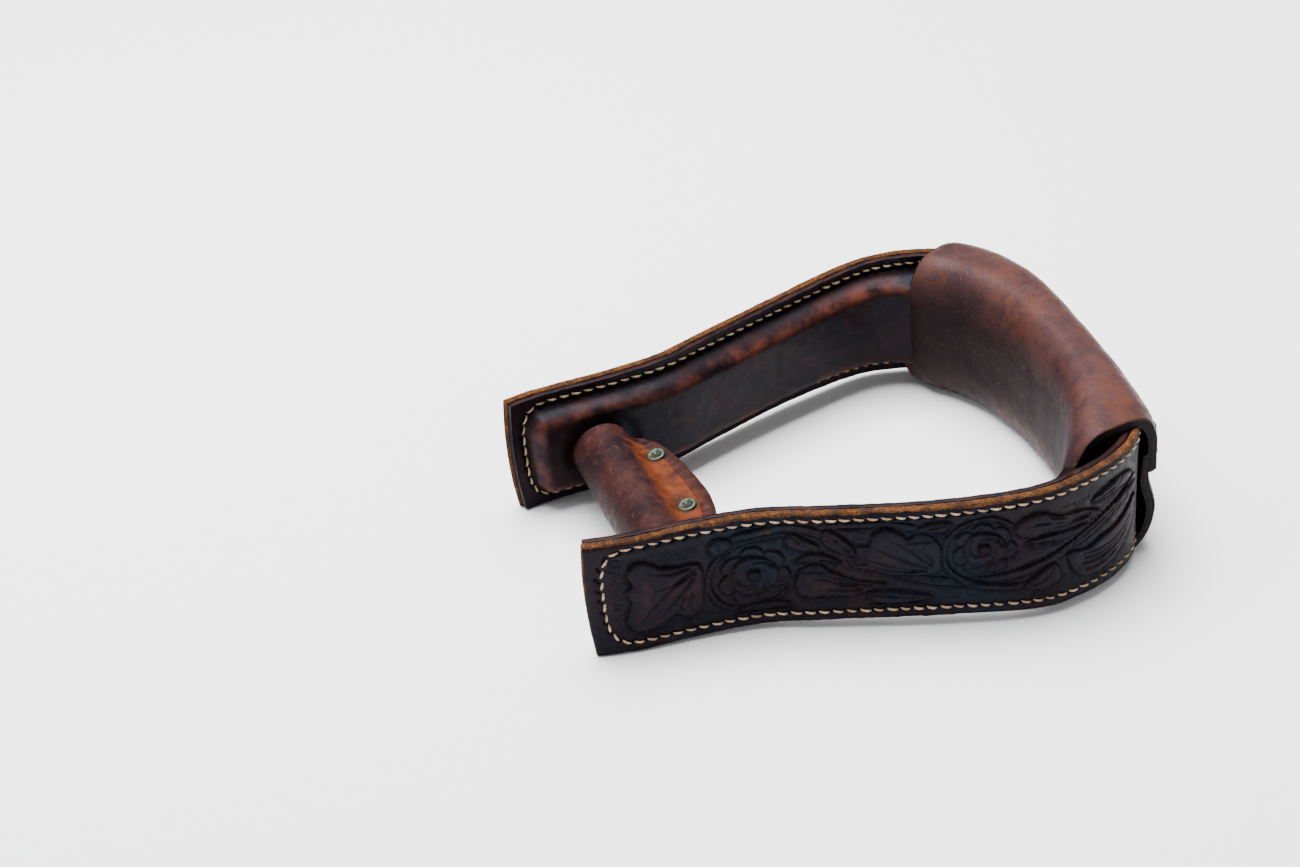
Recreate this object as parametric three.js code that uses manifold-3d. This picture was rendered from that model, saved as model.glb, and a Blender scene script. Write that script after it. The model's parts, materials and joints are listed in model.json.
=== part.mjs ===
// Leather-covered western stirrup, lying on its side. Millimetres, +Z up.
// X runs from the bar end to the tread, Y runs along the bar.
// The design frame has its origin on the bar axis. The last lines tip the whole
// assembly until it rests on its strap ends and tread cover, and centre it.
import * as THREE from 'three';
import { mergeVertices } from 'three/addons/utils/BufferGeometryUtils.js';
import Module from 'manifold-3d';

const wasm = await Module();
wasm.setup();

// ---- driving dimensions ----
const GAP = 0.3;                 // air between touching pieces
const OUTER_LEATHER = 3.0;       // thickness of the outer straps
const LINING_LEATHER = 2.4;      // thickness of the moulded linings
const COVER_LEATHER = 3.2;       // thickness of the tread cover
const SLEEVE_LEATHER = 2.15;     // thickness of the bar sleeve
const FLANGE = 6;                // leather sewn together beyond the wood
const LINING_SET_BACK = 0.6;     // lining edge below the outer strap's edge
const HUMP_END_X = -27.5;        // bar end of the moulded hump
const WOOD_END_X = -21;          // bar ends of the wood
const WOOD_END_HALF = 10;        // half height left between their cut corners
const SEAM_INSET = 4;            // stitch line below the strap edge
const SEAM_END_X = -29.5;        // stitch line across the strap end
const THREAD_WIDTH = 0.9;
const THREAD_HEIGHT = 0.5;
const SPLIT_HALF = 0.15;         // half the gap where the two halves butt
const BOLT_RADIUS = 4.75;
const BOLT_HEAD_RADIUS = 8;
const COUNTERBORE_RADIUS = 9.5;
const COUNTERBORE_FLOOR = 44.9;  // |y| of the seat under each washer
const WASHER_THICKNESS = 1.2;
const CLAMP_TOP = 50.2;          // |y| of the bolt head and the nut's outer face
const NUT_ACROSS_FLATS = 15;
const SPOOL_RADIUS = 9.3;
const SPOOL_HALF_LENGTH = 39.2;
const SLEEVE_HALF_LENGTH = 38.9;
const SLEEVE_BORE = SPOOL_RADIUS + GAP;
const SLEEVE_RADIUS = SLEEVE_BORE + SLEEVE_LEATHER;
const FLAP_HALF_THICKNESS = 2.3;
const FLAP_REACH = 26.6;         // bar axis to the flap's edge
const FLAP_ANGLE = THREE.MathUtils.degToRad(14);
const RIVET_REACH = 16.1;        // bar axis to the rivet axes
const RIVET_HALF_SPACING = 17.4;
const RIVET_SHANK_RADIUS = 2;
const RIVET_HEAD_RADIUS = 3.5;
const RIVET_HEAD_HEIGHT = 1;
const COVER_SLOT_Z = 5;          // middle of the gap between the cover's edges
const COVER_SLOT_HEIGHT = 3;
const LACE_PITCH = 16.2;
const LACE_COUNT = 6;
const LACE_FIRST_Y = -51.7;
const LACE_WIDTH = 6.6;
const LACE_CENTRE_Z = 10;
const LACE_SPAN = 19;
const LACE_THICKNESS = 1.6;
const TALL = 80;                 // more than any half height
const WIDE = 220;                // more than any length
const STATIONS = 39;             // steps along half the bell curve, three to a span

// Half of the bell seen from above: the outer face, then the lining's hole face.
const outerHalf = new THREE.SplineCurve([
  new THREE.Vector2(-38, 49.5), new THREE.Vector2(-20, 53), new THREE.Vector2(8, 54.4),
  new THREE.Vector2(30, 57.4), new THREE.Vector2(50, 64.7), new THREE.Vector2(88, 78),
  new THREE.Vector2(121, 86.4), new THREE.Vector2(140.5, 85.2), new THREE.Vector2(159.5, 78.3),
  new THREE.Vector2(173, 66.2), new THREE.Vector2(178.4, 46), new THREE.Vector2(178.9, 24),
  new THREE.Vector2(178.9, 8), new THREE.Vector2(178.9, -8),
]);
const innerHalf = new THREE.SplineCurve([
  new THREE.Vector2(-38, 35.6), new THREE.Vector2(-20, 38.9), new THREE.Vector2(8, 40.3),
  new THREE.Vector2(33.3, 43.6), new THREE.Vector2(54.7, 51.4), new THREE.Vector2(92.2, 64.5),
  new THREE.Vector2(121, 72.3), new THREE.Vector2(136, 70), new THREE.Vector2(147, 59.5),
  new THREE.Vector2(157, 43), new THREE.Vector2(163.4, 26), new THREE.Vector2(164.8, 14),
  new THREE.Vector2(164.8, 4), new THREE.Vector2(164.8, -8),
]);

// Half the height of the leather along x: narrow in the middle, wide at the tread.
const halfHeight = new THREE.SplineCurve([
  new THREE.Vector2(-34, 24.9), new THREE.Vector2(8, 24.7), new THREE.Vector2(60, 24.1),
  new THREE.Vector2(95, 24.5), new THREE.Vector2(135, 26.6), new THREE.Vector2(160, 27),
  new THREE.Vector2(200, 27),
]);
const END_TOP = new THREE.Vector2(-34, 24.9);
const END_BULGE = new THREE.Vector2(-36.2, 4);
const END_BOTTOM = new THREE.Vector2(-30.5, -24.9);

// ---- solids ----
function toSolid(geometry) {
  const bare = geometry.index ? geometry.toNonIndexed() : geometry.clone();
  bare.deleteAttribute('normal');
  bare.deleteAttribute('uv');
  const merged = mergeVertices(bare, 1e-4);
  return new wasm.Manifold(new wasm.Mesh({
    numProp: 3,
    vertProperties: new Float32Array(merged.attributes.position.array),
    triVerts: new Uint32Array(merged.index.array),
  }));
}

function toGeometry(solid) {
  const mesh = solid.getMesh();
  const geometry = new THREE.BufferGeometry();
  geometry.setAttribute('position', new THREE.BufferAttribute(mesh.vertProperties, 3));
  geometry.setIndex(new THREE.BufferAttribute(mesh.triVerts, 1));
  geometry.computeVertexNormals();
  return geometry;
}

function extrudeUp(outline, low, high, holes = []) {
  const shape = new THREE.Shape(outline);
  shape.holes = holes.map((hole) => new THREE.Path(hole));
  const geometry = new THREE.ExtrudeGeometry(shape, { depth: high - low, bevelEnabled: false });
  return geometry.translate(0, 0, low);
}

// An outline in (x, z) becomes a slab across y.
function extrudeAcross(outline, low, high, holes = []) {
  return extrudeUp(outline, -high, -low, holes).rotateX(Math.PI / 2);
}

function boxSolid(x0, x1, y0, y1, z0, z1) {
  const box = new THREE.BoxGeometry(x1 - x0, y1 - y0, z1 - z0);
  return toSolid(box.translate((x0 + x1) / 2, (y0 + y1) / 2, (z0 + z1) / 2));
}

function circlePoints(radius, count) {
  return Array.from({ length: count }, (_, i) => {
    const angle = (2 * Math.PI * i) / count;
    return new THREE.Vector2(radius * Math.cos(angle), radius * Math.sin(angle));
  });
}

function rod(radius, low, high) {
  return extrudeAcross(circlePoints(radius, 32), low, high);
}

// Points of a half curve moved towards the inside of the bell.
function offsetCurve(curve, inward) {
  const points = [];
  for (let i = 0; i <= STATIONS; i += 1) {
    const t = i / STATIONS;
    const point = curve.getPoint(t);
    const tangent = curve.getTangent(t);
    points.push(new THREE.Vector2(point.x + tangent.y * inward, point.y - tangent.x * inward));
  }
  return points;
}

// A standing band of one side: from outerHalf moved in by `fromOuter` to either
// outerHalf moved in by `depth`, or innerHalf moved in by `fromInner`.
function band(side, fromOuter, inner) {
  const front = offsetCurve(outerHalf, fromOuter);
  const back = offsetCurve(inner.curve, inner.inward);
  const outline = [...front, ...back.reverse()];
  const placed = outline.map((point) => new THREE.Vector2(point.x, side * point.y));
  if (side < 0) placed.reverse();
  return toSolid(extrudeUp(placed.reverse(), -TALL, TALL));
}

const toOuter = (inward) => ({ curve: outerHalf, inward });
const toInner = (inward) => ({ curve: innerHalf, inward });

function halfOnly(solid, side) {
  const y0 = side > 0 ? SPLIT_HALF : -WIDE;
  const y1 = side > 0 ? WIDE : -SPLIT_HALF;
  return solid.intersect(boxSolid(-WIDE, WIDE, y0, y1, -TALL, TALL));
}

// The side view of the leather, its edges moved in by `inset`, or out if negative.
function sideBlock(inset, endX = null) {
  const steps = 16;
  const top = halfHeight.getPoints(steps).map((p) => new THREE.Vector2(p.x, p.y - inset));
  const bottom = top.map((p) => new THREE.Vector2(p.x, -p.y)).reverse();
  let outline = [...top, ...bottom];
  if (endX === null) {
    const end = new THREE.QuadraticBezierCurve(END_BOTTOM, END_BULGE, END_TOP).getPoints(6);
    outline = [...top.slice(1), ...bottom.slice(0, -1), ...end.map((p) => endPoint(p, inset))];
  } else {
    const height = top[1].y;
    outline = [...top.filter((p) => p.x > endX), ...bottom.filter((p) => p.x > endX)];
    outline.push(new THREE.Vector2(endX, -height));
    outline.push(new THREE.Vector2(endX, height));
  }
  return toSolid(extrudeAcross(outline.reverse(), -WIDE, WIDE));
}

function endPoint(point, inset) {
  const scale = (END_TOP.y - inset) / END_TOP.y;
  return new THREE.Vector2(point.x + inset, point.y * scale);
}

// ---- pieces of one side ----
const OUTER_TO_WOOD = OUTER_LEATHER + GAP;
const WOOD_INSET = FLANGE + LINING_LEATHER;
const boltHole = toSolid(rod(BOLT_RADIUS + GAP, -WIDE, WIDE));

function outerStrap(side) {
  const strap = band(side, 0, toOuter(OUTER_LEATHER)).intersect(sideBlock(0));
  return halfOnly(strap, side);
}

function lining(side) {
  const flangeDepth = OUTER_TO_WOOD + LINING_LEATHER;
  const flange = band(side, OUTER_TO_WOOD, toOuter(flangeDepth)).intersect(sideBlock(LINING_SET_BACK));
  const hump = band(side, OUTER_TO_WOOD, toInner(0)).intersect(sideBlock(FLANGE, HUMP_END_X));
  const hollowEnd = HUMP_END_X + LINING_LEATHER;
  const hollow = band(side, 0, toInner(-LINING_LEATHER)).intersect(sideBlock(WOOD_INSET, hollowEnd));
  return halfOnly(flange.add(hump).subtract(hollow).subtract(boltHole), side);
}

// The wood's ends, with their corners taken off so that the leather can round over them.
function woodEnds() {
  const reach = TALL / 2;
  const outline = [
    new THREE.Vector2(WOOD_END_X, -WOOD_END_HALF),
    new THREE.Vector2(WOOD_END_X + reach - WOOD_END_HALF, -reach),
    new THREE.Vector2(WIDE, -reach),
    new THREE.Vector2(WIDE, reach),
    new THREE.Vector2(WOOD_END_X + reach - WOOD_END_HALF, reach),
    new THREE.Vector2(WOOD_END_X, WOOD_END_HALF),
  ];
  return toSolid(extrudeAcross(outline.reverse(), -WIDE, WIDE));
}

function woodFrame() {
  const limits = sideBlock(WOOD_INSET + GAP, WOOD_END_X).intersect(woodEnds());
  const sides = [-1, 1].map((side) => {
    const plank = band(side, OUTER_TO_WOOD + GAP, toInner(-LINING_LEATHER - GAP));
    const low = side > 0 ? COUNTERBORE_FLOOR : -WIDE;
    const high = side > 0 ? WIDE : -COUNTERBORE_FLOOR;
    return plank.intersect(limits).subtract(toSolid(rod(COUNTERBORE_RADIUS, low, high)));
  });
  return sides[0].add(sides[1]).subtract(boltHole);
}

// One run of thread along the top edge, across the strap end and back along the bottom.
function seamThread(side, fromOuter) {
  const ribbon = band(side, fromOuter, toOuter(fromOuter + THREAD_HEIGHT));
  const half = THREAD_WIDTH / 2;
  const outside = sideBlock(SEAM_INSET - half, SEAM_END_X - half);
  const inside = sideBlock(SEAM_INSET + half, SEAM_END_X + half);
  return halfOnly(ribbon.intersect(outside).subtract(inside), side);
}

// ---- tread cover and lace ----
const COVER_CLEARANCE = GAP + THREAD_HEIGHT + GAP;
const COVER_OUTSIDE = COVER_CLEARANCE + COVER_LEATHER;

// The cover seen from above: its near end is cut on the slant, so that it reaches
// further along the hole side than along the outside; its far end is cut square.
const COVER_PLAN = [
  new THREE.Vector2(128, -58), new THREE.Vector2(140.5, -73), new THREE.Vector2(177, -61.5),
  new THREE.Vector2(WIDE, -50), new THREE.Vector2(WIDE, 100), new THREE.Vector2(172, 100),
  new THREE.Vector2(158, 78), new THREE.Vector2(141, 70), new THREE.Vector2(128, 55),
];

function coverRegion() {
  return toSolid(extrudeUp(COVER_PLAN, -TALL, TALL));
}

function bothSides(fromOuter, inner) {
  return band(-1, fromOuter, inner).add(band(1, fromOuter, inner));
}

function treadCover() {
  const outside = bothSides(-COVER_OUTSIDE, toInner(GAP + COVER_LEATHER));
  const inside = bothSides(-COVER_CLEARANCE, toInner(GAP));
  const shell = outside.intersect(sideBlock(-GAP - COVER_LEATHER));
  const cavity = inside.intersect(sideBlock(-GAP));
  const slotLow = COVER_SLOT_Z - COVER_SLOT_HEIGHT / 2;
  const slotHigh = COVER_SLOT_Z + COVER_SLOT_HEIGHT / 2;
  const slot = boxSolid(-WIDE, WIDE, -WIDE, WIDE, slotLow, slotHigh);
  const slotWall = bothSides(-COVER_OUTSIDE - 1, toOuter(0)).intersect(slot);
  return shell.subtract(cavity).intersect(coverRegion()).subtract(slotWall);
}

function treadLace() {
  const low = LACE_CENTRE_Z - LACE_SPAN / 2;
  const high = LACE_CENTRE_Z + LACE_SPAN / 2;
  const face = COVER_OUTSIDE + GAP;
  const sheet = bothSides(-face - LACE_THICKNESS, toOuter(-face));
  const lastY = LACE_FIRST_Y + (LACE_COUNT - 1) * LACE_PITCH;
  const half = COVER_SLOT_HEIGHT / 2 - GAP;
  const runBox = boxSolid(0, WIDE, LACE_FIRST_Y, lastY, COVER_SLOT_Z - half, COVER_SLOT_Z + half);
  let lace = bothSides(-face - LACE_THICKNESS, toOuter(-COVER_CLEARANCE)).intersect(runBox);
  for (let i = 0; i < LACE_COUNT; i += 1) {
    const y = LACE_FIRST_Y + i * LACE_PITCH;
    const bar = boxSolid(0, WIDE, y - LACE_WIDTH / 2, y + LACE_WIDTH / 2, low, high);
    lace = lace.add(sheet.intersect(bar));
  }
  return lace;
}

// ---- bar ----
function boltGeometry() {
  const headLow = COUNTERBORE_FLOOR + GAP + WASHER_THICKNESS + GAP;
  return new THREE.LatheGeometry([
    new THREE.Vector2(0, -CLAMP_TOP),
    new THREE.Vector2(BOLT_RADIUS, -CLAMP_TOP),
    new THREE.Vector2(BOLT_RADIUS, headLow),
    new THREE.Vector2(BOLT_HEAD_RADIUS, headLow),
    new THREE.Vector2(BOLT_HEAD_RADIUS - 0.6, CLAMP_TOP - 0.8),
    new THREE.Vector2(BOLT_HEAD_RADIUS * 0.5, CLAMP_TOP),
    new THREE.Vector2(0, CLAMP_TOP),
  ], 32);
}

function ringGeometry(inner, outer, low, high) {
  return new THREE.LatheGeometry([
    new THREE.Vector2(inner, low),
    new THREE.Vector2(outer, low),
    new THREE.Vector2(outer, high),
    new THREE.Vector2(inner, high),
    new THREE.Vector2(inner, low),
  ], 32);
}

function nutGeometry() {
  const corner = NUT_ACROSS_FLATS / Math.sqrt(3);
  const hole = circlePoints(BOLT_RADIUS + GAP, 32).reverse();
  const low = COUNTERBORE_FLOOR + GAP + WASHER_THICKNESS + GAP;
  return extrudeAcross(circlePoints(corner, 6), -CLAMP_TOP, -low, [hole]);
}

// Teardrop section: a round wrap whose two ends close into a flap along +X.
function sleeveSection() {
  const rootAngle = Math.PI / 4;
  const steps = 22;
  const outline = [];
  for (let i = 0; i <= steps; i += 1) {
    const angle = rootAngle + (i / steps) * (2 * Math.PI - 2 * rootAngle);
    outline.push(new THREE.Vector2(SLEEVE_RADIUS * Math.cos(angle), SLEEVE_RADIUS * Math.sin(angle)));
  }
  const neck = new THREE.Vector2(12.8, FLAP_HALF_THICKNESS);
  const tip = new THREE.Vector2(FLAP_REACH, FLAP_HALF_THICKNESS - 0.8);
  const bend = new THREE.Vector2(10.6, 5.2);
  outline.push(new THREE.Vector2(bend.x, -bend.y));
  outline.push(new THREE.Vector2(neck.x, -neck.y));
  outline.push(new THREE.Vector2(tip.x - 2, -neck.y));
  outline.push(new THREE.Vector2(tip.x, -tip.y));
  outline.push(tip);
  outline.push(new THREE.Vector2(tip.x - 2, neck.y));
  outline.push(neck);
  outline.push(bend);
  return outline;
}

// The flap is D-shaped, fullest a little towards the near strap.
function sleevePlan() {
  const edge = new THREE.SplineCurve([
    new THREE.Vector2(SLEEVE_RADIUS, -37), new THREE.Vector2(20, -33), new THREE.Vector2(25.4, -25),
    new THREE.Vector2(FLAP_REACH, -14), new THREE.Vector2(25.9, -3), new THREE.Vector2(24, 8.4),
    new THREE.Vector2(21.4, 20), new THREE.Vector2(16.9, 28.5), new THREE.Vector2(SLEEVE_RADIUS, 34),
  ]).getPoints(24);
  const back = -SLEEVE_RADIUS - 1;
  const length = SLEEVE_HALF_LENGTH;
  const corners = [[SLEEVE_RADIUS, length], [back, length], [back, -length], [SLEEVE_RADIUS, -length]];
  return [...edge, ...corners.map(([x, y]) => new THREE.Vector2(x, y))];
}

function barSleeve() {
  const bore = circlePoints(SLEEVE_BORE, 32).reverse();
  const wrap = toSolid(extrudeAcross(sleeveSection(), -SLEEVE_HALF_LENGTH, SLEEVE_HALF_LENGTH, [bore]));
  let sleeve = wrap.intersect(toSolid(extrudeUp(sleevePlan(), -TALL, TALL)));
  for (const side of [-1, 1]) {
    const shank = new THREE.CylinderGeometry(RIVET_SHANK_RADIUS + GAP, RIVET_SHANK_RADIUS + GAP, 30, 20);
    shank.rotateX(Math.PI / 2).translate(RIVET_REACH, side * RIVET_HALF_SPACING, 0);
    sleeve = sleeve.subtract(toSolid(shank));
  }
  return sleeve;
}

// Tubular rivet: a domed cap below, a hollow end rolled into a ring above.
function rivetGeometry() {
  const face = FLAP_HALF_THICKNESS + GAP;
  const ringTop = face + RIVET_HEAD_HEIGHT;
  const geometry = new THREE.LatheGeometry([
    new THREE.Vector2(0, -ringTop),
    new THREE.Vector2(RIVET_HEAD_RADIUS * 0.6, -ringTop),
    new THREE.Vector2(RIVET_HEAD_RADIUS, -face),
    new THREE.Vector2(RIVET_SHANK_RADIUS, -face),
    new THREE.Vector2(RIVET_SHANK_RADIUS, face),
    new THREE.Vector2(RIVET_HEAD_RADIUS, face),
    new THREE.Vector2(RIVET_HEAD_RADIUS * 0.8, ringTop),
    new THREE.Vector2(RIVET_HEAD_RADIUS * 0.5, ringTop - 0.1),
    new THREE.Vector2(RIVET_SHANK_RADIUS * 0.5, face - 1.5),
    new THREE.Vector2(0, face - 1.5),
  ], 20);
  return geometry.rotateX(Math.PI / 2);
}

// ---- assembly ----
const finish = {
  tooled: { color: 0x2a1c22, roughness: 0.42, metalness: 0 },
  plain: { color: 0x241b1d, roughness: 0.48, metalness: 0 },
  lining: { color: 0x4a2a28, roughness: 0.4, metalness: 0 },
  cover: { color: 0x5c342c, roughness: 0.38, metalness: 0 },
  sleeve: { color: 0x6b3a28, roughness: 0.45, metalness: 0 },
  wood: { color: 0xb08a5a, roughness: 0.7, metalness: 0 },
  steel: { color: 0x8a8a88, roughness: 0.4, metalness: 1 },
  rivet: { color: 0x6f8f78, roughness: 0.55, metalness: 0.8 },
  thread: { color: 0xd8c7a0, roughness: 0.8, metalness: 0 },
  lace: { color: 0x3a2420, roughness: 0.55, metalness: 0 },
};

const stirrup = new THREE.Group();
const sleeveGroup = new THREE.Group();

function addPiece(parent, name, shape, look) {
  const geometry = shape.getMesh ? toGeometry(shape) : shape;
  const mesh = new THREE.Mesh(geometry, new THREE.MeshStandardMaterial(look));
  mesh.name = name;
  parent.add(mesh);
  return mesh;
}

addPiece(stirrup, 'bent_wood_frame', woodFrame(), finish.wood);
addPiece(stirrup, 'tooled_outer_strap', outerStrap(-1), finish.tooled);
addPiece(stirrup, 'plain_outer_strap', outerStrap(1), finish.plain);
for (const [word, side] of [['tooled_side', -1], ['plain_side', 1]]) {
  const liningSide = OUTER_TO_WOOD + LINING_LEATHER + GAP;
  addPiece(stirrup, `${word}_lining`, lining(side), finish.lining);
  addPiece(stirrup, `${word}_seam_top_thread`, seamThread(side, -GAP - THREAD_HEIGHT), finish.thread);
  addPiece(stirrup, `${word}_seam_bobbin_thread`, seamThread(side, liningSide), finish.thread);
  const seat = side * (COUNTERBORE_FLOOR + GAP + WASHER_THICKNESS / 2);
  const half = WASHER_THICKNESS / 2;
  const washer = ringGeometry(BOLT_RADIUS + GAP, COUNTERBORE_RADIUS - GAP, -half, half);
  addPiece(stirrup, `${word}_bolt_washer`, washer, finish.steel).position.y = seat;
}
addPiece(stirrup, 'tread_cover', treadCover(), finish.cover);
addPiece(stirrup, 'tread_cover_lace', treadLace(), finish.lace);
addPiece(stirrup, 'bar_bolt', boltGeometry(), finish.steel);
addPiece(stirrup, 'bar_bolt_nut', nutGeometry(), finish.steel);
const spool = ringGeometry(BOLT_RADIUS + GAP, SPOOL_RADIUS, -SPOOL_HALF_LENGTH, SPOOL_HALF_LENGTH);
addPiece(stirrup, 'bar_spool', spool, finish.wood);

addPiece(sleeveGroup, 'bar_sleeve', barSleeve(), finish.sleeve);
for (const [word, side] of [['tooled_side', -1], ['plain_side', 1]]) {
  const rivet = addPiece(sleeveGroup, `${word}_sleeve_rivet`, rivetGeometry(), finish.rivet);
  rivet.position.set(RIVET_REACH, side * RIVET_HALF_SPACING, 0);
}
sleeveGroup.rotation.y = -FLAP_ANGLE;
stirrup.add(sleeveGroup);

// Tip the tread end up until the strap ends and the cover share one plane.
const coverLow = new THREE.Vector2(148, -(26.7 + GAP + COVER_LEATHER));
const rise = END_BOTTOM.y - coverLow.y;
stirrup.rotation.y = -Math.atan2(rise, coverLow.x - END_BOTTOM.x);

const assembly = new THREE.Group();
assembly.add(stirrup);
assembly.updateMatrixWorld(true);
const bounds = new THREE.Box3().setFromObject(assembly, true);
const centre = bounds.getCenter(new THREE.Vector3());
stirrup.position.set(-centre.x, -centre.y, -bounds.min.z);

export default assembly;
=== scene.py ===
"""Western leather-covered stirrup lying on its side: the looks, built over the CAD frame."""
import json
import math

import bpy
import numpy as np
from mathutils import Matrix, Vector


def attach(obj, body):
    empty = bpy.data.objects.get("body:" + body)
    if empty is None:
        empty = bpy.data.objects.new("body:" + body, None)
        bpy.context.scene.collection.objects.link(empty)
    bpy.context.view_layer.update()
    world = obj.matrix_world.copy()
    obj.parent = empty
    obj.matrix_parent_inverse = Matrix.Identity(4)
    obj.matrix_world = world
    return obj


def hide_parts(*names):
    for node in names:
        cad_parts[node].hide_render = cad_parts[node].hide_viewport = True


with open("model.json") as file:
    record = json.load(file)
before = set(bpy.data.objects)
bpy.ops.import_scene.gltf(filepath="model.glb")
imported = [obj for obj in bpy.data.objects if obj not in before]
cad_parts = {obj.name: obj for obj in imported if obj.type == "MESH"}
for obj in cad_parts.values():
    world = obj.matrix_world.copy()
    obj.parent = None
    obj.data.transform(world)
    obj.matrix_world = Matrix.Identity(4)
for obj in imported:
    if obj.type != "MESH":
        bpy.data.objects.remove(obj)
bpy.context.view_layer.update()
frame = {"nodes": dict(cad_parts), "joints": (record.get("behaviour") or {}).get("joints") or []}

# ---- driving dimensions, in millimetres, in the stirrup's own frame: origin on the bar axis,
# X towards the tread, Y along the bar, Z across the straps ----
BAR_AXIS = np.array(frame["joints"][0]["pos_m"]) * 1000
TILT = 0.029683                 # radians that the tread end is raised by its thicker cover
END_X = -34.0                   # strap ends
END_HALF_HEIGHT = 24.9          # of the straps, at their ends
MEAN_HALF_HEIGHT = 24.4         # near enough along a strap to find its columns by
CORNER_SET_BACK = 2.3           # of a strap end's lower corner, behind its upper one
COVERED_X = 172.0               # from here on the tread cover hides the straps
OUTER_LEATHER = 3.0
LINING_LEATHER = 2.4
GAP = 0.3
LINING_BACK = OUTER_LEATHER + GAP
BACK_COLUMNS = 34               # columns across the hidden back of a strap
FLANGE = 6.0                    # a lining's flat border, outside its hump
HUMP_END = 6.5                  # strap end to the moulded hump, along the strap
SEAM_INSET = 4.0
SEAM_END = 4.7                  # strap end to the seam across it
SEAM_SPAN = 18.0                # how far past COVERED_X the seam runs on, out of sight
STITCH_PITCH = 4.9
STITCH_LENGTH = 3.85
STITCH_LEAN = 0.34              # each end off the seam's line
THREAD_RADIUS = 0.38
THREAD_COLUMNS = 9
COVER_LEATHER = 3.8
COVER_SPAN = 150.0              # along the tread, from rim to rim
COVER_ROWS = 300
COVER_COLUMNS = 330
LAP_COLUMNS = 5                 # columns round each free edge of the wrapped cover
LAP_EDGE_Z = 5.0                # lower edge of the cover's upper flap
LACE_SPACING = 16.2
LACE_YS = [-51.7 + LACE_SPACING * i for i in range(6)]
SLOT_HALF = (4.1, 1.9)          # of the dent at each lace slot, along the tread and up
LACE_TOP = 19.2
LACE_BOTTOM = 0.6
SLEEVE_RADIUS = 11.75
SLEEVE_BORE = 9.6               # its radius
SLEEVE_HALF_LENGTH = 38.9
FLAP_ANGLE = math.radians(14)
RIVET_REACH = 16.1              # from the bar's axis, out along the flap
RIVET_HALF_SPACING = 17.4

OUTER_HALF = [(-38, 49.5), (-20, 53), (8, 54.4), (30, 57.4), (50, 64.7), (88, 78), (121, 86.4),
              (140.5, 85.2), (159.5, 78.3), (173, 66.2), (178.4, 46), (178.9, 24), (178.9, 8), (178.9, -8)]
INNER_HALF = [(-38, 35.6), (-20, 38.9), (8, 40.3), (33.3, 43.6), (54.7, 51.4), (92.2, 64.5),
              (121, 72.3), (136, 70), (147, 59.5), (157, 43), (163.4, 26), (164.8, 14),
              (164.8, 4), (164.8, -8)]
HALF_HEIGHT = [(-34, 24.9), (8, 24.7), (60, 24.1), (95, 24.5), (135, 26.6), (160, 27), (200, 27)]

# what differs by side: -1 is the tooled side and 1 the plain one
SIDE_WORD = {-1: "tooled", 1: "plain"}
SEAM_SEED = {-1: 3, 1: 4}
STATION_STEP = {-1: 0.34, 1: 0.6}
FACE_COLUMNS = {-1: 133, 1: 81}
END_BOW = {-1: 3.2, 1: 4.4}             # how far the strap end bows out between its corners
END_REACH = {-1: 1.5, 1: 0.2}           # and how far its upper corner reaches beyond END_X
END_RAWNESS = {-1: 0.15, 1: 0.8}        # how much bare leather the face shows along that end
COVER_MOUTH_X = {-1: 140.5, 1: 150.0}   # where the lining goes into the tread cover


# ---- curves and noise ----
def spline(points, t, closed=False):
    """Uniform Catmull-Rom spline through the points, at t from 0 to 1."""
    p = np.array(points, float)
    if closed:
        p = np.vstack([p[-1], p, p[0], p[1]])
        place = 1 + np.asarray(t) * (len(p) - 3)
    else:
        place = np.asarray(t) * (len(p) - 1)
    i = np.clip(np.floor(place).astype(int), 0, len(p) - 2)
    w = (place - i)[..., None]
    p0, p1 = p[np.maximum(i - 1, 0)], p[i]
    p2, p3 = p[i + 1], p[np.minimum(i + 2, len(p) - 1)]
    v0, v1 = (p2 - p0) / 2, (p3 - p1) / 2
    return (2 * p1 - 2 * p2 + v0 + v1) * w**3 + (-3 * p1 + 3 * p2 - 2 * v0 - v1) * w**2 + v0 * w + p1


def xyz(*columns):
    """Arrays or numbers side by side along a new last axis, stretched to one another's shape."""
    return np.stack(np.broadcast_arrays(*columns), -1)


def smoothstep(low, high, x):
    t = np.clip((np.asarray(x, float) - low) / (high - low), 0, 1)
    return t * t * (3 - 2 * t)


def bell(x, width):
    return np.exp(-((np.asarray(x, float) / width) ** 2))


def arc_lengths(points):
    """The length along a polyline to each of its points."""
    return np.concatenate([[0], np.cumsum(np.hypot(*np.diff(points, axis=0).T))])


def along_path(path, lengths, at):
    """The point or points of a path at those lengths along it."""
    return np.stack([np.interp(at, lengths, column) for column in path.T], -1)


LATTICE = np.random.default_rng(11).random((32, 32, 32))
OCTAVE_OFFSET = 17.3


def noise(points, size):
    """Smooth value noise from -1 to 1, with features of about that size."""
    q = np.asarray(points, float) / size
    i = np.floor(q).astype(int)
    f = q - i
    f = f * f * (3 - 2 * f)
    total = 0
    for dx in (0, 1):
        for dy in (0, 1):
            for dz in (0, 1):
                step = np.array([dx, dy, dz])
                weight = np.prod(np.abs(1 - step - f), axis=-1)
                total = total + weight * LATTICE[tuple(np.moveaxis((i + step) % 32, -1, 0))]
    return 2 * total - 1


def fractal(points, size, octaves=4):
    points = np.asarray(points, float)
    total, reach = 0, 0
    for k in range(octaves):
        total = total + noise(points + OCTAVE_OFFSET * k, size / 2**k) / 2**k
        reach += 1 / 2**k
    return total / reach


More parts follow.
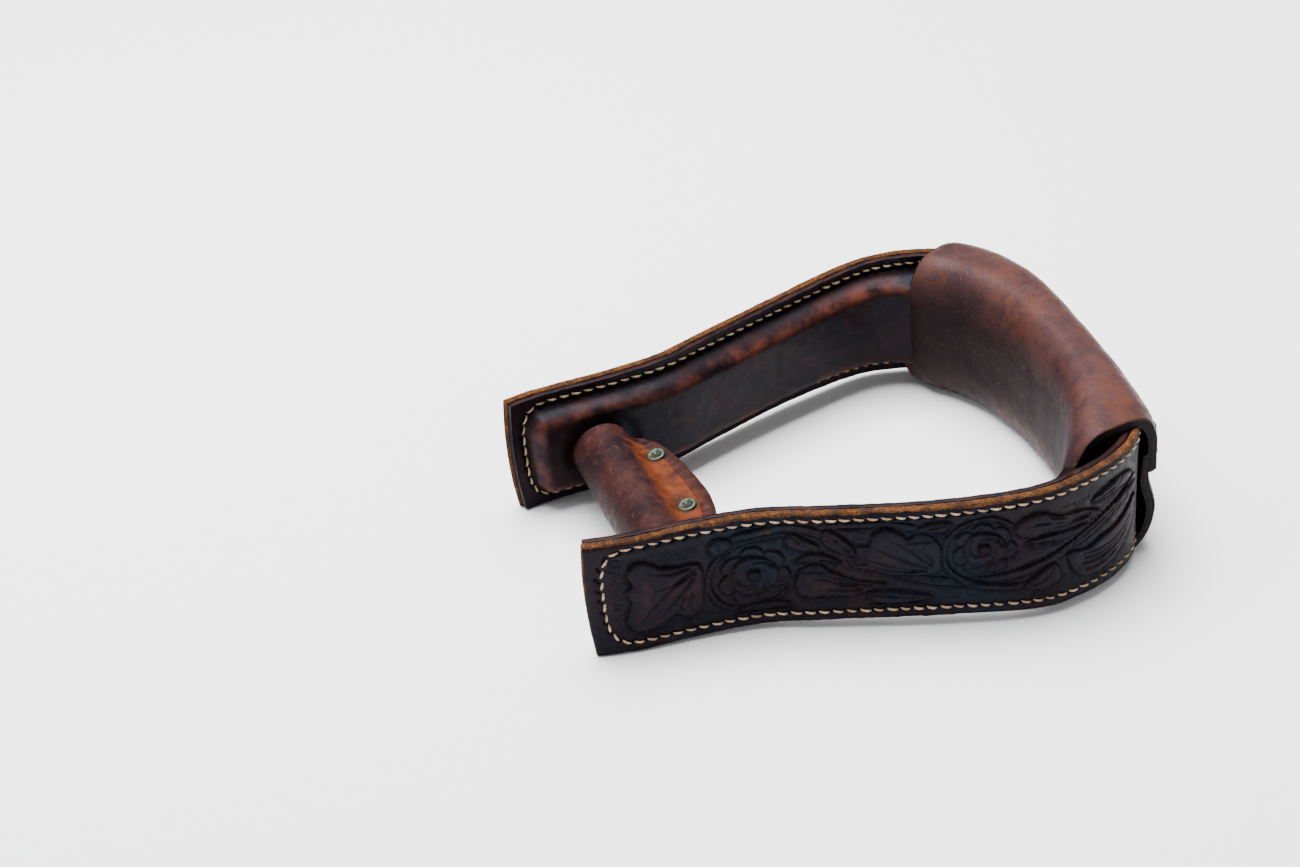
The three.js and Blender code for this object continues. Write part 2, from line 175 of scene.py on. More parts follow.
class Bell:
    """One half of the stirrup's bell seen from above, measured along its outer face from the
    strap end. Both sides have the same outline."""

    def __init__(self):
        dense = spline(OUTER_HALF, np.linspace(0, 1, 4001))
        dense = dense[: np.argmax(dense[:, 1] < 0) + 1]
        length = arc_lengths(dense)
        length -= np.interp(END_X, dense[:200, 0], length[:200])
        self.length = float(length[-1])
        self.s = length
        self.points = dense
        tangent = np.gradient(dense, length, axis=0)
        tangent /= np.hypot(*tangent.T)[:, None]
        self.inward = np.column_stack([tangent[:, 1], -tangent[:, 0]])
        self.depths = self._depths()

    def _depths(self):
        """Distance from the outer face to the lining's hole face, along the inward normal."""
        inner = spline(INNER_HALF, np.linspace(0, 1, 1500))
        picks = np.linspace(0, len(self.points) - 1, 300).astype(int)
        found = []
        for k in picks:
            away = inner - self.points[k]
            along = away @ self.inward[k]
            aside = away @ np.array([-self.inward[k][1], self.inward[k][0]])
            near = np.abs(aside) + np.where(along > 5, 0, 1e3)
            found.append(along[np.argmin(near)])
        smooth = np.convolve(np.pad(found, 4, mode="edge"), np.ones(9) / 9, mode="valid")
        return np.interp(np.arange(len(self.points)), picks, smooth)

    def _at(self, table, s):
        return np.interp(s, self.s, table)

    def depth(self, s):
        return self._at(self.depths, s)

    def x(self, s):
        return self._at(self.points[:, 0], s)

    def station(self, x):
        """Arc length at the first point of the outer face with this x."""
        first = np.argmax(self.points[:, 0])
        return float(np.interp(x, self.points[:first, 0], self.s[:first]))

    def half_height(self, s):
        profile = spline(HALF_HEIGHT, np.linspace(0, 1, 200))
        return np.interp(self.x(s), profile[:, 0], profile[:, 1])

    def locate(self, s, n, z, side):
        """Points at arc length s, depth n under the outer face and height z."""
        x, y = (self._at(self.points[:, k], s) + n * self._at(self.inward[:, k], s) for k in (0, 1))
        return xyz(x, side * y, z)


bell_curve = Bell()


def end_set_back(z, side):
    """The strap end is a shallow curve, its lower corner set back from its upper one."""
    t = np.clip((END_HALF_HEIGHT - z) / (2 * END_HALF_HEIGHT), 0, 1)
    return CORNER_SET_BACK * t**2 - END_BOW[side] * t * (1 - t) - END_REACH[side]


# ---- meshes ----
def place(points):
    """Stirrup frame in millimetres to row frame in metres."""
    p = np.asarray(points, float).reshape(-1, 3)
    c, s = math.cos(TILT), math.sin(TILT)
    turned = np.column_stack([p[:, 0] * c - p[:, 2] * s, p[:, 1], p[:, 0] * s + p[:, 2] * c])
    return (turned + BAR_AXIS) / 1000


def build(name, points, faces, material, replaces, mask, body="stirrup"):
    """One mesh object from vertices in the stirrup frame and a list of index tuples or arrays.
    mask holds up to three values a vertex, which the materials read as red, green and blue."""
    mesh = bpy.data.meshes.new(name)
    mesh.from_pydata(place(points).tolist(), [], [tuple(map(int, f)) for f in faces])
    mesh.polygons.foreach_set("use_smooth", np.ones(len(mesh.polygons), bool))
    colours = np.zeros((len(mesh.vertices), 4), np.float32)
    colours[:, :mask.shape[-1]] = mask.reshape(-1, mask.shape[-1])
    attribute = mesh.color_attributes.new("mask", "FLOAT_COLOR", "POINT")
    attribute.data.foreach_set("color", np.clip(colours, 0, 1).ravel())
    mesh.materials.append(material[0])
    mesh.update()
    piece = bpy.data.objects.new(name, mesh)
    bpy.context.scene.collection.objects.link(piece)
    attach(piece, body)
    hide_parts(*replaces)


def grid_faces(rows, columns, start=0, close_columns=False, flip=False):
    i, j = np.meshgrid(np.arange(rows - 1), np.arange(columns if close_columns else columns - 1),
                       indexing="ij")
    k = (j + 1) % columns
    quads = np.stack([i * columns + j, i * columns + k, (i + 1) * columns + k, (i + 1) * columns + j], -1)
    quads = quads.reshape(-1, 4) + start
    return quads[:, ::-1] if flip else quads


# ---- straps ----
class Relief:
    """A height field over (s, z) on a strap's face, in millimetres, negative into the leather, with painted
    shade for its cuts, holes and pits.
    """

    def __init__(self, rows, columns):
        self.rows, self.columns = rows, columns
        self.s, self.z = np.meshgrid(rows, columns, indexing="ij")
        self.height = np.zeros_like(self.s)
        self.painted_shade = np.zeros_like(self.s)

    def window(self, points, margin):
        low, high = np.min(points, axis=0) - margin, np.max(points, axis=0) + margin
        i0, i1 = np.searchsorted(self.rows, [low[0], high[0]])
        j0, j1 = np.searchsorted(self.columns, [low[1], high[1]])
        return slice(i0, i1), slice(j0, j1)

    def distance(self, points, part):
        """Distance to a polyline, and how far along it the nearest point lies, from 0 to 1."""
        s, z = self.s[part], self.z[part]
        best = np.full(s.shape, 1e9)
        along = np.zeros(s.shape)
        starts = arc_lengths(points)
        for k, (a, b) in enumerate(zip(points[:-1], points[1:])):
            d = b - a
            t = np.clip(((s - a[0]) * d[0] + (z - a[1]) * d[1]) / (d @ d + 1e-9), 0, 1)
            away = np.hypot(s - a[0] - t * d[0], z - a[1] - t * d[1])
            nearer = away < best
            best = np.where(nearer, away, best)
            along = np.where(nearer, (starts[k] + t * np.hypot(*d)) / starts[-1], along)
        return best, along

    def inside(self, points, part):
        s, z = self.s[part], self.z[part]
        odd = np.zeros(s.shape, bool)
        for a, b in zip(points, np.roll(points, -1, axis=0)):
            if a[1] != b[1]:
                crosses = (a[1] > z) != (b[1] > z)
                odd ^= crosses & (s < (b[0] - a[0]) * (z - a[1]) / (b[1] - a[1]) + a[0])
        return odd

    def outline(self, shape, dome=0.28, cut=0.3):
        """A raised leaf or petal: pressed away around, domed inside, cut along its edge."""
        points = spline(shape, np.linspace(0, 1, 8 * len(shape), endpoint=False), closed=True)
        ring = np.vstack([points, points[:1]])
        part = self.window(points, 4)
        away, _ = self.distance(ring, part)
        within = self.inside(points, part)
        beside = -1.0 * np.exp(-((away / 2.2) ** 1.3))
        raised = 1.7 * dome * (1 - np.exp(-away / 1.5)) - 0.1
        self.height[part] = np.where(within, raised, np.minimum(self.height[part], beside - 0.12))
        self.height[part] -= cut * bell(away, 0.36)
        # painted shade along the cut round the leaf, cleared inside it
        self.painted_shade[part] = np.maximum(self.painted_shade[part] * np.where(within, 0.2, 1), 0.35 * bell(away, 0.5))

    def stroke(self, shape, width=0.8, depth=0.9, taper=True, steps=8):
        """A cut made with a swivel knife, fading out at its end."""
        points = spline(shape, np.linspace(0, 1, steps * (len(shape) - 1) + 1))
        part = self.window(points, 3 * width)
        away, along = self.distance(points, part)
        strength = np.where(taper, (1 - along) ** 0.6 * smoothstep(0, 0.08, along), 1)
        mark = bell(away, width * (0.5 + 0.5 * strength)) * strength
        self.height[part] -= depth * mark
        # painted shade in the knife cut
        self.paint_shade(part, 0.35 * mark)

    def stem(self, shape, width, dome=0.25):
        """A raised stem with a cut on both sides, as wide as width(0..1)."""
        points = spline(shape, np.linspace(0, 1, 9 * (len(shape) - 1) + 1))
        part = self.window(points, 6)
        away, along = self.distance(points, part)
        half = width(along) / 2
        edge = np.abs(away - half)
        within = away < half
        raised = 1.8 * dome * np.sqrt(np.clip(1 - (away / np.maximum(half, 0.1)) ** 2, 0, 1)) + 0.05
        beside = np.minimum(self.height[part], -1.0 * np.exp(-((edge / 1.7) ** 1.3)) - 0.12)
        self.height[part] = np.where(within, raised, beside) - 0.26 * bell(edge, 0.36)
        # painted shade along the cuts beside the stem, cleared on it
        self.painted_shade[part] = np.maximum(self.painted_shade[part] * np.where(within, 0.3, 1), 0.4 * bell(edge, 0.5))

    def around(self, centre, margin):
        """The window round a point, and the distance to the point in it."""
        part = self.window(np.array([centre]), margin)
        return part, np.hypot(self.s[part] - centre[0], self.z[part] - centre[1])

    # painted shade: darkens the colour here to at least this amount
    def paint_shade(self, part, amount):
        self.painted_shade[part] = np.maximum(self.painted_shade[part], amount)

    def dot(self, centre, radius, height):
        part, away = self.around(centre, 2 * radius)
        self.height[part] += height * smoothstep(radius, 0.3 * radius, away)
        # painted shade in the ring round the pressed dot
        self.paint_shade(part, 0.7 * bell(away - radius, 0.35))


LEAVES = [
    [(40, 8), (34, 8.5), (26, 10), (22, 13.5), (17, 14.5), (14, 10), (15.5, 5), (13.5, 2),
     (15, -3), (13.5, -8), (13, -13), (17, -17), (25, -16.5), (31, -13), (35, -15.5), (40, -14),
     (41.5, -8), (42, 2)],
    [(108, -9.5), (98, -7.5), (89, -3), (83, 1.5), (77.5, -1), (75, -7), (76.5, -12), (81, -14),
     (88, -13.5), (97, -13.5)],
    [(126, -5), (112, -5), (103, -2.5), (96, 0), (94.5, 5), (98, 8.5), (102, 9), (103.5, 14),
     (108, 16.5), (113, 14), (116, 10.8), (119, 13), (123.5, 12), (127, 7.5), (127.5, 1)],
    [(97, 4.5), (93, 12.5), (87.5, 16.5), (85, 13.5), (88, 8.5)],
    [(190, 7.5), (181, 12), (171, 13.5), (165, 17), (158, 16), (154, 11.5), (158, 7.5), (166, 6.5),
     (178, 5.5)],
    [(176, -5.5), (184, -7), (191, -5), (202, -3), (214, 2), (210, -9), (201, -17), (191, -20),
     (182, -18.5), (177, -13)],
]
FILLERS = [
    [(47, 10), (44, 14), (46.5, 17), (51, 16.5), (53, 13)],
    [(74, 15.5), (79, 13), (84, 9), (80, 7), (74.5, 9), (71.5, 12.5)],
    [(76, 3), (80, 6), (86, 5.5), (92, 1.5), (86, 3), (80, 2.4)],
    [(54, -17), (64, -18.3), (73, -16.6), (66, -14.9)],
    [(101, -13), (108, -12.4), (117, -13.6), (124, -16.2), (114, -18), (104, -17.2)],
    [(119, 14.6), (124, 17.6), (131, 17.2), (128, 13.4)],
    [(170, -8), (163, -11), (158, -16), (165, -18), (172, -15.5)],
    [(186, 13.5), (193, 17), (203, 17.4), (210, 14), (200, 12.4)],
    [(158, 4.5), (166, 3.5), (176, 2.4), (184, 4.6), (174, 5.4), (166, 6)],
]
FLOWERS = [((60.5, -2.2), 12.6, 0.4), ((143.2, 4.0), 11.2, 2.2)]
STEMS = [
    ([(128, 12), (110, 17.8), (88, 18.2), (70, 15.6), (54, 12.8), (46, 6), (43.5, -3), (47, -12),
      (55, -16.5), (66, -15.5), (72, -10)], 2.6, 1.4),
    ([(47, 13.5), (60, 17), (76, 18), (88, 13), (98, 6), (110, -3), (124, -8.5), (142, -10.5),
      (160, -8), (178, -2), (196, 5), (212, 10)], 3.0, 3.4),
    ([(166, -15), (152, -14.5), (138, -11), (129.5, -3), (129, 7), (135, 15), (146, 17.5),
      (154, 13)], 2.4, 1.3),
]
STROKES = [
    [(40, 7), (29, -1), (18, -12)], [(40, 5), (32, 1.5), (22, 0.5)], [(39, 3), (33, -4), (24, -13)],
    [(38, 7.5), (30, 6.5), (21, 9.5)], [(38, -4), (36, -9), (39, -13)], [(35, -5), (33, -9), (35, -12)],
    [(104, -9.5), (93, -8), (84, -5), (79.5, -8)], [(100, -11), (90, -10.5), (83, -10)],
    [(98, -8.5), (90, -5), (83, -2.5)],
    [(124, -4), (112, -1.5), (102, 3), (98.5, 5)], [(124, -3), (114, 2), (105, 8), (104, 11)],
    [(125, -2), (118, 5), (109, 12.5)], [(125, 0), (121, 6), (121.5, 10)], [(120, -4), (109, -2.5), (99, 2)],
    [(95, 6), (91, 11), (88.5, 14)],
    [(186, 8), (176, 9.5), (164, 12.5), (158, 12)], [(184, 8), (172, 8.5), (162, 9)],
    [(186, 9), (176, 11.5), (167, 14.5)],
    [(180, -8), (190, -9.5), (201, -8), (211, -2)], [(180, -12), (190, -13.5), (201, -11.5), (209, -5)],
    [(182, -15.5), (192, -16.5), (202, -13.5)], [(181, -10), (192, -11.5), (204, -9)],
]


def flower(relief, centre, radius, turn):
    """A scroll flower: lobed petals behind a disc, and two spiral cuts winding in to a ringed eye."""
    cx, cz = centre

    def polar(r, a):
        return cx + radius * r * math.cos(a), cz + radius * r * math.sin(a)

    for k in range(7):
        a = turn + k * 2 * math.pi / 7
        petal = [polar(0.5, a - 0.1), polar(0.74, a - 0.16), polar(0.97, a + 0.1), polar(1.03, a + 0.44),
                 polar(0.9, a + 0.72), polar(0.7, a + 0.76), polar(0.5, a + 0.5)]
        relief.outline(petal, dome=0.26, cut=0.3)
        relief.stroke([polar(0.94, a + 0.4), polar(0.8, a + 0.34), polar(0.62, a + 0.4)], 0.5, 0.5)
    relief.outline([polar(0.66 + 0.03 * math.cos(3 * a), a) for a in np.linspace(0, 6.28, 13)[:-1]], dome=0.3)
    eye = [polar(0.17, a) for a in np.linspace(0, 6.28, 12)[:-1]]
    relief.outline(eye, dome=0.45, cut=0.5)
    for start in (0.0, 2.2, 4.1):
        arm = [polar(0.64 - 0.42 * w, turn + start + 2.6 * w) for w in np.linspace(0, 1, 7)]
        relief.stroke(arm, 0.8, 1.0)
    relief.dot(centre, 0.9, -0.5)


def scallops(relief, path, radius, spacing, lines, depth):
    """Shell stamps side by side along a path, each a fan of fine radiating lines."""
    lengths = arc_lengths(path)
    for at in np.arange(spacing / 2, lengths[-1], spacing):
        x, z = along_path(path, lengths, at)
        ahead = along_path(path, lengths, at + 0.5) - (x, z)
        ahead /= np.hypot(*ahead) + 1e-9
        part = relief.window(np.array([(x, z)]), radius + 1)
        ds, dz = relief.s[part] - x, relief.z[part] - z
        u, v = ds * ahead[0] + dz * ahead[1], -ds * ahead[1] + dz * ahead[0]
        reach, angle = np.hypot(u, v), np.arctan2(v, u)
        front = (v < 0.2) & (reach < radius)
        rays = np.cos(angle * lines) ** 2 * smoothstep(0.9, 2.4, reach)
        fan = np.where(front, rays * smoothstep(radius, radius - 0.8, reach), 0)
        rim = np.where(v < 0.2, bell(reach - radius, 0.4), 0)
        bare = smoothstep(-0.42, -0.2, relief.height[part]) * smoothstep(0.1, 0.0, relief.height[part])
        relief.height[part] -= depth * (0.75 * fan + rim) * bare
        # painted shade in the shell's rim and ray cuts
        relief.paint_shade(part, 0.6 * (rim + fan) * bare)


def seam_path():
    """The seam on a strap in (s, z): along the top, round across the end and back along the bottom."""
    s = np.arange(bell_curve.station(COVERED_X) + SEAM_SPAN, SEAM_END + 13.5, -1.0)
    half = bell_curve.half_height(s)
    top = np.column_stack([s, half - SEAM_INSET + 0.6])
    bottom = np.column_stack([s, -half + SEAM_INSET])[::-1]
    high = top[-1][1]
    across = [(9, high), (4.2, high - 1.1), (1.2, high - 4.6), (0, 11.0), (0.1, 3.0), (0.5, -6.0),
              (1.2, -12.5), (3.8, -18.2), (8.5, -20.6)]
    rough = np.vstack([top, np.array(across) + (SEAM_END, 0), bottom])
    lengths = arc_lengths(rough)
    fine = np.arange(0, lengths[-1], 0.35)
    return along_path(rough, lengths, fine), fine


def seam_stitches(path, fine, seed):
    """Start, end and middle of each stitch along the seam, with a hand's unevenness."""
    rng = np.random.default_rng(seed)
    found, at = [], STITCH_PITCH / 2
    while at < fine[-1] - STITCH_PITCH:
        length = STITCH_LENGTH + rng.normal(0, 0.16)
        a, b = along_path(path, fine, at), along_path(path, fine, at + length)
        across = np.array([-(b - a)[1], (b - a)[0]]) / np.hypot(*(b - a))
        lean = STITCH_LEAN + rng.normal(0, 0.05)
        found.append((a + across * lean, b - across * lean, rng.random()))
        at += STITCH_PITCH + rng.normal(0, 0.12)
    return found


def press_seam(relief, path, stitches):
    """Press the seam's groove and the two holes of each stitch."""
    for start in range(0, len(path) - 1, 24):
        piece = path[start:start + 25]
        part = relief.window(piece, 2.4)
        away, _ = relief.distance(piece, part)
        keep = smoothstep(1.0, 1.9, away)
        height = relief.height[part]
        pressed = height * keep - 0.3 * bell(away, 1.05) * (1 - keep)
        relief.height[part] = np.minimum(pressed, height + 0.4)
    for a, b, _ in stitches:
        for hole in (a, b):
            part, away = relief.around(hole, 1.6)
            relief.height[part] -= 0.9 * bell(away, 0.55)
            # painted shade in each stitch hole
            relief.paint_shade(part, bell(away, 0.85))
        # painted shade just past each stitch's end
        part, away = relief.around(b + 0.75 * (b - a) / np.hypot(*(b - a)), 1.6)
        relief.paint_shade(part, 0.85 * bell(away, 0.8))


def tooled_pattern(relief):
    inner = smoothstep(12.0, 13.5, relief.s) * smoothstep(17.4, 16.4, np.abs(relief.z + 0.4))
    relief.height -= 0.12 * inner
    for points, start, finish in STEMS:
        relief.stem(points, lambda t, a=start, b=finish: a + (b - a) * t)
    for centre, radius, turn in FLOWERS:
        flower(relief, centre, radius, turn)
    for leaf in LEAVES:
        relief.outline(leaf)
    for leaf in FILLERS:
        relief.outline(leaf, dome=0.22)
        middle = np.mean(leaf, axis=0)
        relief.stroke([leaf[0], tuple(middle), leaf[len(leaf) // 2]], 0.5, 0.5)
    for line in STROKES:
        relief.stroke(line)
    for k in range(13):
        t = k / 12
        relief.dot((116 + 34 * t, -6.6 - 2.6 * math.sin(2.6 * t)), 0.75, -0.3)
    top = np.array([(s, 17.4) for s in np.arange(9.0, 205, 1.0)])
    scallops(relief, top, 5.6, 6.4, 13, 0.42)
    left = np.array([(9.4, z) for z in np.arange(-17, 17, 1.0)])
    scallops(relief, left, 4.6, 6.8, 11, 0.36)
    low = np.array([(s, -16.6) for s in np.arange(205, 9.0, -1.0)])
    scallops(relief, low, 3.6, 7.3, 9, 0.36)
    chain = spline([(158, -5.5), (174, -2.2), (190, 3.6), (206, 9)], np.linspace(0, 1, 26))
    for k, (x, z) in enumerate(chain):
        slant = 1.5 if k % 2 else -1.5
        relief.stroke([(x - 1, z - slant), (x + 0.6, z), (x - 1, z + slant)], 0.35, 0.4, taper=False)
    pebbles = fractal(xyz(relief.s, relief.z, 0), 1.4, 2)
    low_ground = smoothstep(-0.2, -0.45, relief.height)
    relief.height += 0.2 * pebbles * low_ground
    # painted shade in the pits of the pebbled ground
    relief.painted_shade = np.maximum(relief.painted_shade, 0.7 * low_ground * smoothstep(0.1, -0.5, pebbles))


def strap(name, side, material, detail):
    """An outer strap: a ring of columns round its section at each station, from the strap end to
    the middle of the tread. detail(relief), if any, presses the pattern into the outer face."""
    shown = bell_curve.station(COVERED_X) + 6
    s = np.concatenate([[0, 0.1, 0.3, 0.6], np.arange(1.0, shown, STATION_STEP[side]),
                        np.arange(shown, bell_curve.length - 0.2, 3.0)])
    unit = np.linspace(-1, 1, FACE_COLUMNS[side])
    relief = Relief(s, unit * MEAN_HALF_HEIGHT)
    relief.z = unit[None, :] * bell_curve.half_height(s)[:, None]
    path, along = seam_path()
    stitches = seam_stitches(path, along, SEAM_SEED[side])
    if detail:
        detail(relief)
    press_seam(relief, path, stitches)
    half = bell_curve.half_height(s)[:, None] * np.ones_like(relief.z)
    near_edge = smoothstep(2.6, 0, half - np.abs(relief.z))
    near_end = smoothstep(2.2, 0, relief.s)
    worn = xyz(relief.s, relief.z, 40 * side)
    rough = fractal(worn, 5.0, 3)
    relief.height -= 0.35 * near_edge**2 * (1 + rough) + 0.3 * near_end
    relief.height += 0.22 * fractal(worn, 24, 2) + 0.05 * fractal(worn, 2.2, 2)
    # the ring: outer face, upper edge, back, lower edge
    turn = np.linspace(0, math.pi, 12)[1:-1]
    depth_edge = OUTER_LEATHER / 2 * (1 - np.cos(turn))
    bulge = 0.75 * np.sin(turn) ** 0.7
    back = np.linspace(1, -1, BACK_COLUMNS)
    top_n, top_z = np.tile(depth_edge, (len(s), 1)), half[:, :1] - 0.75 + bulge
    low_z = -half[:, :1] + 0.75 - bulge[::-1]
    fuzz_at = xyz(s[:, None], top_z, 3 * top_n)
    fuzz = 0.22 * fractal(fuzz_at, 1.6, 3) + 0.28 * fractal(fuzz_at, 9, 2)
    back_z = back[None, :] * (half[:, :1] - 0.6)
    n = np.hstack([-relief.height, top_n, np.full((len(s), BACK_COLUMNS), OUTER_LEATHER),
                   top_n[:, ::-1]])
    z = np.hstack([relief.z * (1 - 0.75 / half), top_z + fuzz, back_z, low_z + fuzz[:, ::-1]])
    raw_front = np.clip(smoothstep(1.1, 0.1, half - np.abs(relief.z) + 0.7 * rough)
                        + smoothstep(1.0, 0.0, relief.s + 0.5 * rough), 0, 1)
    raw_front *= np.where(relief.z > 0, 1, 0.35)
    edge_mask = np.tile(smoothstep(-0.3, 0.25, np.sin(turn) - 0.2), (len(s), 1))
    raw = np.hstack([raw_front, edge_mask, np.zeros((len(s), BACK_COLUMNS)), 0.4 * edge_mask])
    worn_high = smoothstep(0.12, 0.5, relief.height) * smoothstep(-0.1, 0.4, rough)
    blank = np.zeros((len(s), BACK_COLUMNS + 2 * len(turn)))
    # the mask's green is the painted shade of cuts, holes and pits
    raised, painted_shade = np.hstack([worn_high, blank]), np.hstack([relief.painted_shade, blank])
    # rounded strap end, sheared to its curve
    pull = 1 - smoothstep(0, 16, s)[:, None]
    shift = end_set_back(z, side) * pull
    close = np.sqrt(np.clip(1 - (1 - np.clip(s / 0.9, 0, 1)) ** 2, 0, 1))[:, None]
    middle = OUTER_LEATHER / 2
    n = middle + (n - middle) * (0.35 + 0.65 * close)
    z = z * (1 - 0.02 * (1 - close))
    raw = np.maximum(raw, END_RAWNESS[side] * smoothstep(1.3, 0.3, s)[:, None])
    end_fuzz = 0.15 * (pull * fractal(xyz(z, 0, 7), 3.0, 3))
    points = bell_curve.locate(s[:, None] + shift + end_fuzz, n, z, side)
    build(name, points, sheet_ring(len(s), points.shape[1], flip=side < 0), material,
          replaces=[name + "_strap"], mask=xyz(raw, painted_shade, raised))
    return stitches


def sheet_ring(rows, columns, flip=False, start=0):
    """A ring of columns at each row, closed at both ends with one face."""
    faces = grid_faces(rows, columns, start, close_columns=True, flip=flip).tolist()
    first = np.arange(start, start + columns)
    last = first[::-1] + (rows - 1) * columns
    return faces + [first[::-1], last[::-1]] if flip else faces + [first, last]


# ---- linings ----
def lining(side, stitches, material):
    """The moulded lining: a flat flange sewn to the strap, and a hump over the wood."""
    name = SIDE_WORD[side] + "_side_lining"
    s = np.concatenate([np.arange(0.7, 16, 0.4), np.arange(16, bell_curve.length - 4, 0.9),
                        [bell_curve.length - 0.2]])
    wall = np.concatenate([np.linspace(-1, -0.715, 34), np.linspace(-0.7, 0.7, 60),
                           np.linspace(0.715, 1, 34)])
    half = bell_curve.half_height(s)[:, None] - 0.6
    z = wall[None, :] * half
    ss = np.tile(s[:, None], (1, z.shape[1]))
    corner = 7.0                # radius of the hump's corners, seen from the hole
    inset_z = half - (FLANGE - 0.6) - np.abs(z)
    inset_s = ss - HUMP_END - end_set_back(z, side) * 0.6
    outside = np.hypot(np.minimum(inset_z - corner, 0), np.minimum(inset_s - corner, 0))
    foot = np.where((inset_z < corner) & (inset_s < corner), corner - outside, np.minimum(inset_z, inset_s))
    climb = 1 - (1 - np.clip(foot / 7.5, 0, 1)) ** 3.4
    place_at = xyz(ss, z, 90 * side)
    base = LINING_BACK + LINING_LEATHER
    rise = bell_curve.depth(s)[:, None] - base
    height = base + rise * climb + 0.35 * fractal(place_at, 26, 2) * climb + 0.08 * fractal(place_at, 3, 2)
    height -= 0.5 * bell(foot + 0.6, 0.9)
    bore = np.hypot(bell_curve.x(s)[:, None] + 0 * z, z)
    height -= 0.9 * smoothstep(16.5, 12.5, bore)
    mouth = bell_curve.station(COVER_MOUTH_X[side])
    painted_shade = np.zeros_like(height)
    # painted shade in the stitch holes
    for a, b, _ in stitches:
        for end in (a, b):
            i0, i1 = np.searchsorted(s, [end[0] - 2, end[0] + 2])
            away = np.hypot(ss[i0:i1] - end[0], z[i0:i1] - end[1])
            height[i0:i1] -= 0.5 * bell(away, 0.7)
            painted_shade[i0:i1] = np.maximum(painted_shade[i0:i1], bell(away, 1.0))
    # red-brown rub along the hump's shoulder: wear, and a painted highlight
    shoulder_wear_and_highlight = bell(foot - 3.0, 2.2) * (0.55 + 0.45 * fractal(place_at, 20, 2))
    # painted shade at the foot of the hump, round the bar's hole and inside the tread cover's mouth
    painted_shade = np.maximum(painted_shade, 0.75 * bell(foot + 0.5, 1.3))
    painted_shade = np.maximum(painted_shade, 0.6 * smoothstep(19, 13, bore))
    painted_shade = np.maximum(painted_shade, smoothstep(mouth - 3, mouth + 4, ss))
    turn = np.linspace(0, math.pi, 8)[1:-1]
    edge_n = base - LINING_LEATHER / 2 * (1 - np.cos(turn))
    bulge = 0.4 * np.sin(turn)
    top_z = half + bulge + 0.15 * fractal(xyz(s[:, None], bulge, bulge), 2.5, 2)
    back_z = np.linspace(1, -1, 40)[None, :] * half
    back_foot = half - (FLANGE - 0.6) - LINING_LEATHER - np.abs(back_z)
    deep = np.clip(back_foot / 3, 0, 1) * smoothstep(HUMP_END + 2, HUMP_END + 5, s)[:, None]
    back_n = LINING_BACK + np.maximum(rise - 0.6, 0) * deep
    n = np.hstack([height, np.tile(edge_n, (len(s), 1)), back_n, np.tile(edge_n[::-1], (len(s), 1))])
    zz = np.hstack([z, top_z, back_z, -top_z[:, ::-1]])
    edges = np.tile(np.sin(turn), (len(s), 1))
    # made lighter: the shoulder's wear and painted highlight, and the worn edges
    lightened = np.hstack([np.clip(shoulder_wear_and_highlight, 0, 1), 0.35 * edges, 0 * back_n, 0.2 * edges])
    # painted shade, half strength, along the lining's edges, in the line between it and the strap
    lining_painted_shade = np.hstack([painted_shade, 0.5 * edges, 0 * back_n, 0.5 * edges])
    pull = 1 - smoothstep(0, 16, s)[:, None]
    points = bell_curve.locate(s[:, None] + end_set_back(zz, side) * pull, n, zz, side)
    build(name, points, sheet_ring(len(s), points.shape[1], flip=side > 0), material,
          replaces=[name], mask=xyz(lightened, lining_painted_shade))


# ---- sewing ----
def sew(name, side, stitches, depth, outward, material):
    """Each stitch as a plump length of thread whose ends sink into its holes."""
    around = along = THREAD_COLUMNS
    t = np.linspace(0, 1, along)
    girth = THREAD_RADIUS * (0.72 + 0.4 * np.sin(math.pi * t) ** 0.8)
    lift = 0.75 * np.sin(math.pi * t) ** 0.5 - 0.55
    angle = np.linspace(0, 2 * math.pi, around, endpoint=False)
    rows, faces = [], []
    for a, b, luck in stitches:
        spine = a + (b - a) * t[:, None]
        run = (b - a) / np.hypot(*(b - a))
        side_step = np.cos(angle)[None, :] * girth[:, None] * (0.95 + 0.15 * luck)
        up_step = np.sin(angle)[None, :] * girth[:, None] * 0.8
        twist = 0.06 * np.sin(3 * angle[None, :] + 14 * t[:, None])
        ss = spine[:, :1] - run[1] * (side_step + twist)
        zz = spine[:, 1:] + run[0] * (side_step + twist)
        level = depth + outward * (lift[:, None] + up_step + 0.1 * (luck - 0.5))
        start = len(rows) * around * along
        rows.append(bell_curve.locate(ss, level, zz, side).reshape(-1, 3))
        faces += sheet_ring(along, around, side * outward > 0, start)
    luck = np.repeat([s[2] for s in stitches], around * along)
    # painted shade towards each stitch's ends, where they sink into the holes
    middle = np.tile(np.repeat(np.sin(math.pi * t), around), len(stitches))
    mask = xyz(luck, 1 - middle)
    build(name, np.vstack(rows), faces, material, replaces=[name], mask=mask)


# ---- tread cover ----
HOLE_SIDE = [(142.6, -71), (142.4, -64), (146, -57), (151.0, -49), (156.6, -36), (160.3, -20),
             (161.4, 0), (160.3, 20), (156.6, 36), (151.5, 47), (146, 55.5), (140.4, 63), (137.6, 74)]
OUT_SIDE = [(182.8, -63), (184.4, -58), (185.4, -50), (186.2, -38), (186.7, -24), (187.0, -8), (187.2, 6),
            (187.2, 24), (186.4, 42), (183.8, 56), (178.8, 68), (171.8, 77.4), (163.6, 84.2)]
COVER_TOP = [31.0, 31.2, 31.4, 31.6, 31.8, 31.8, 31.8, 31.8, 31.7, 31.5, 31.3, 31.0, 30.4]
COVER_BOTTOM = 30.1
COVER_START = -0.12             # section angle of the upper flap's free edge, from straight out
COVER_END = 2 * math.pi + 0.55  # and of the lower flap's, tucked under it


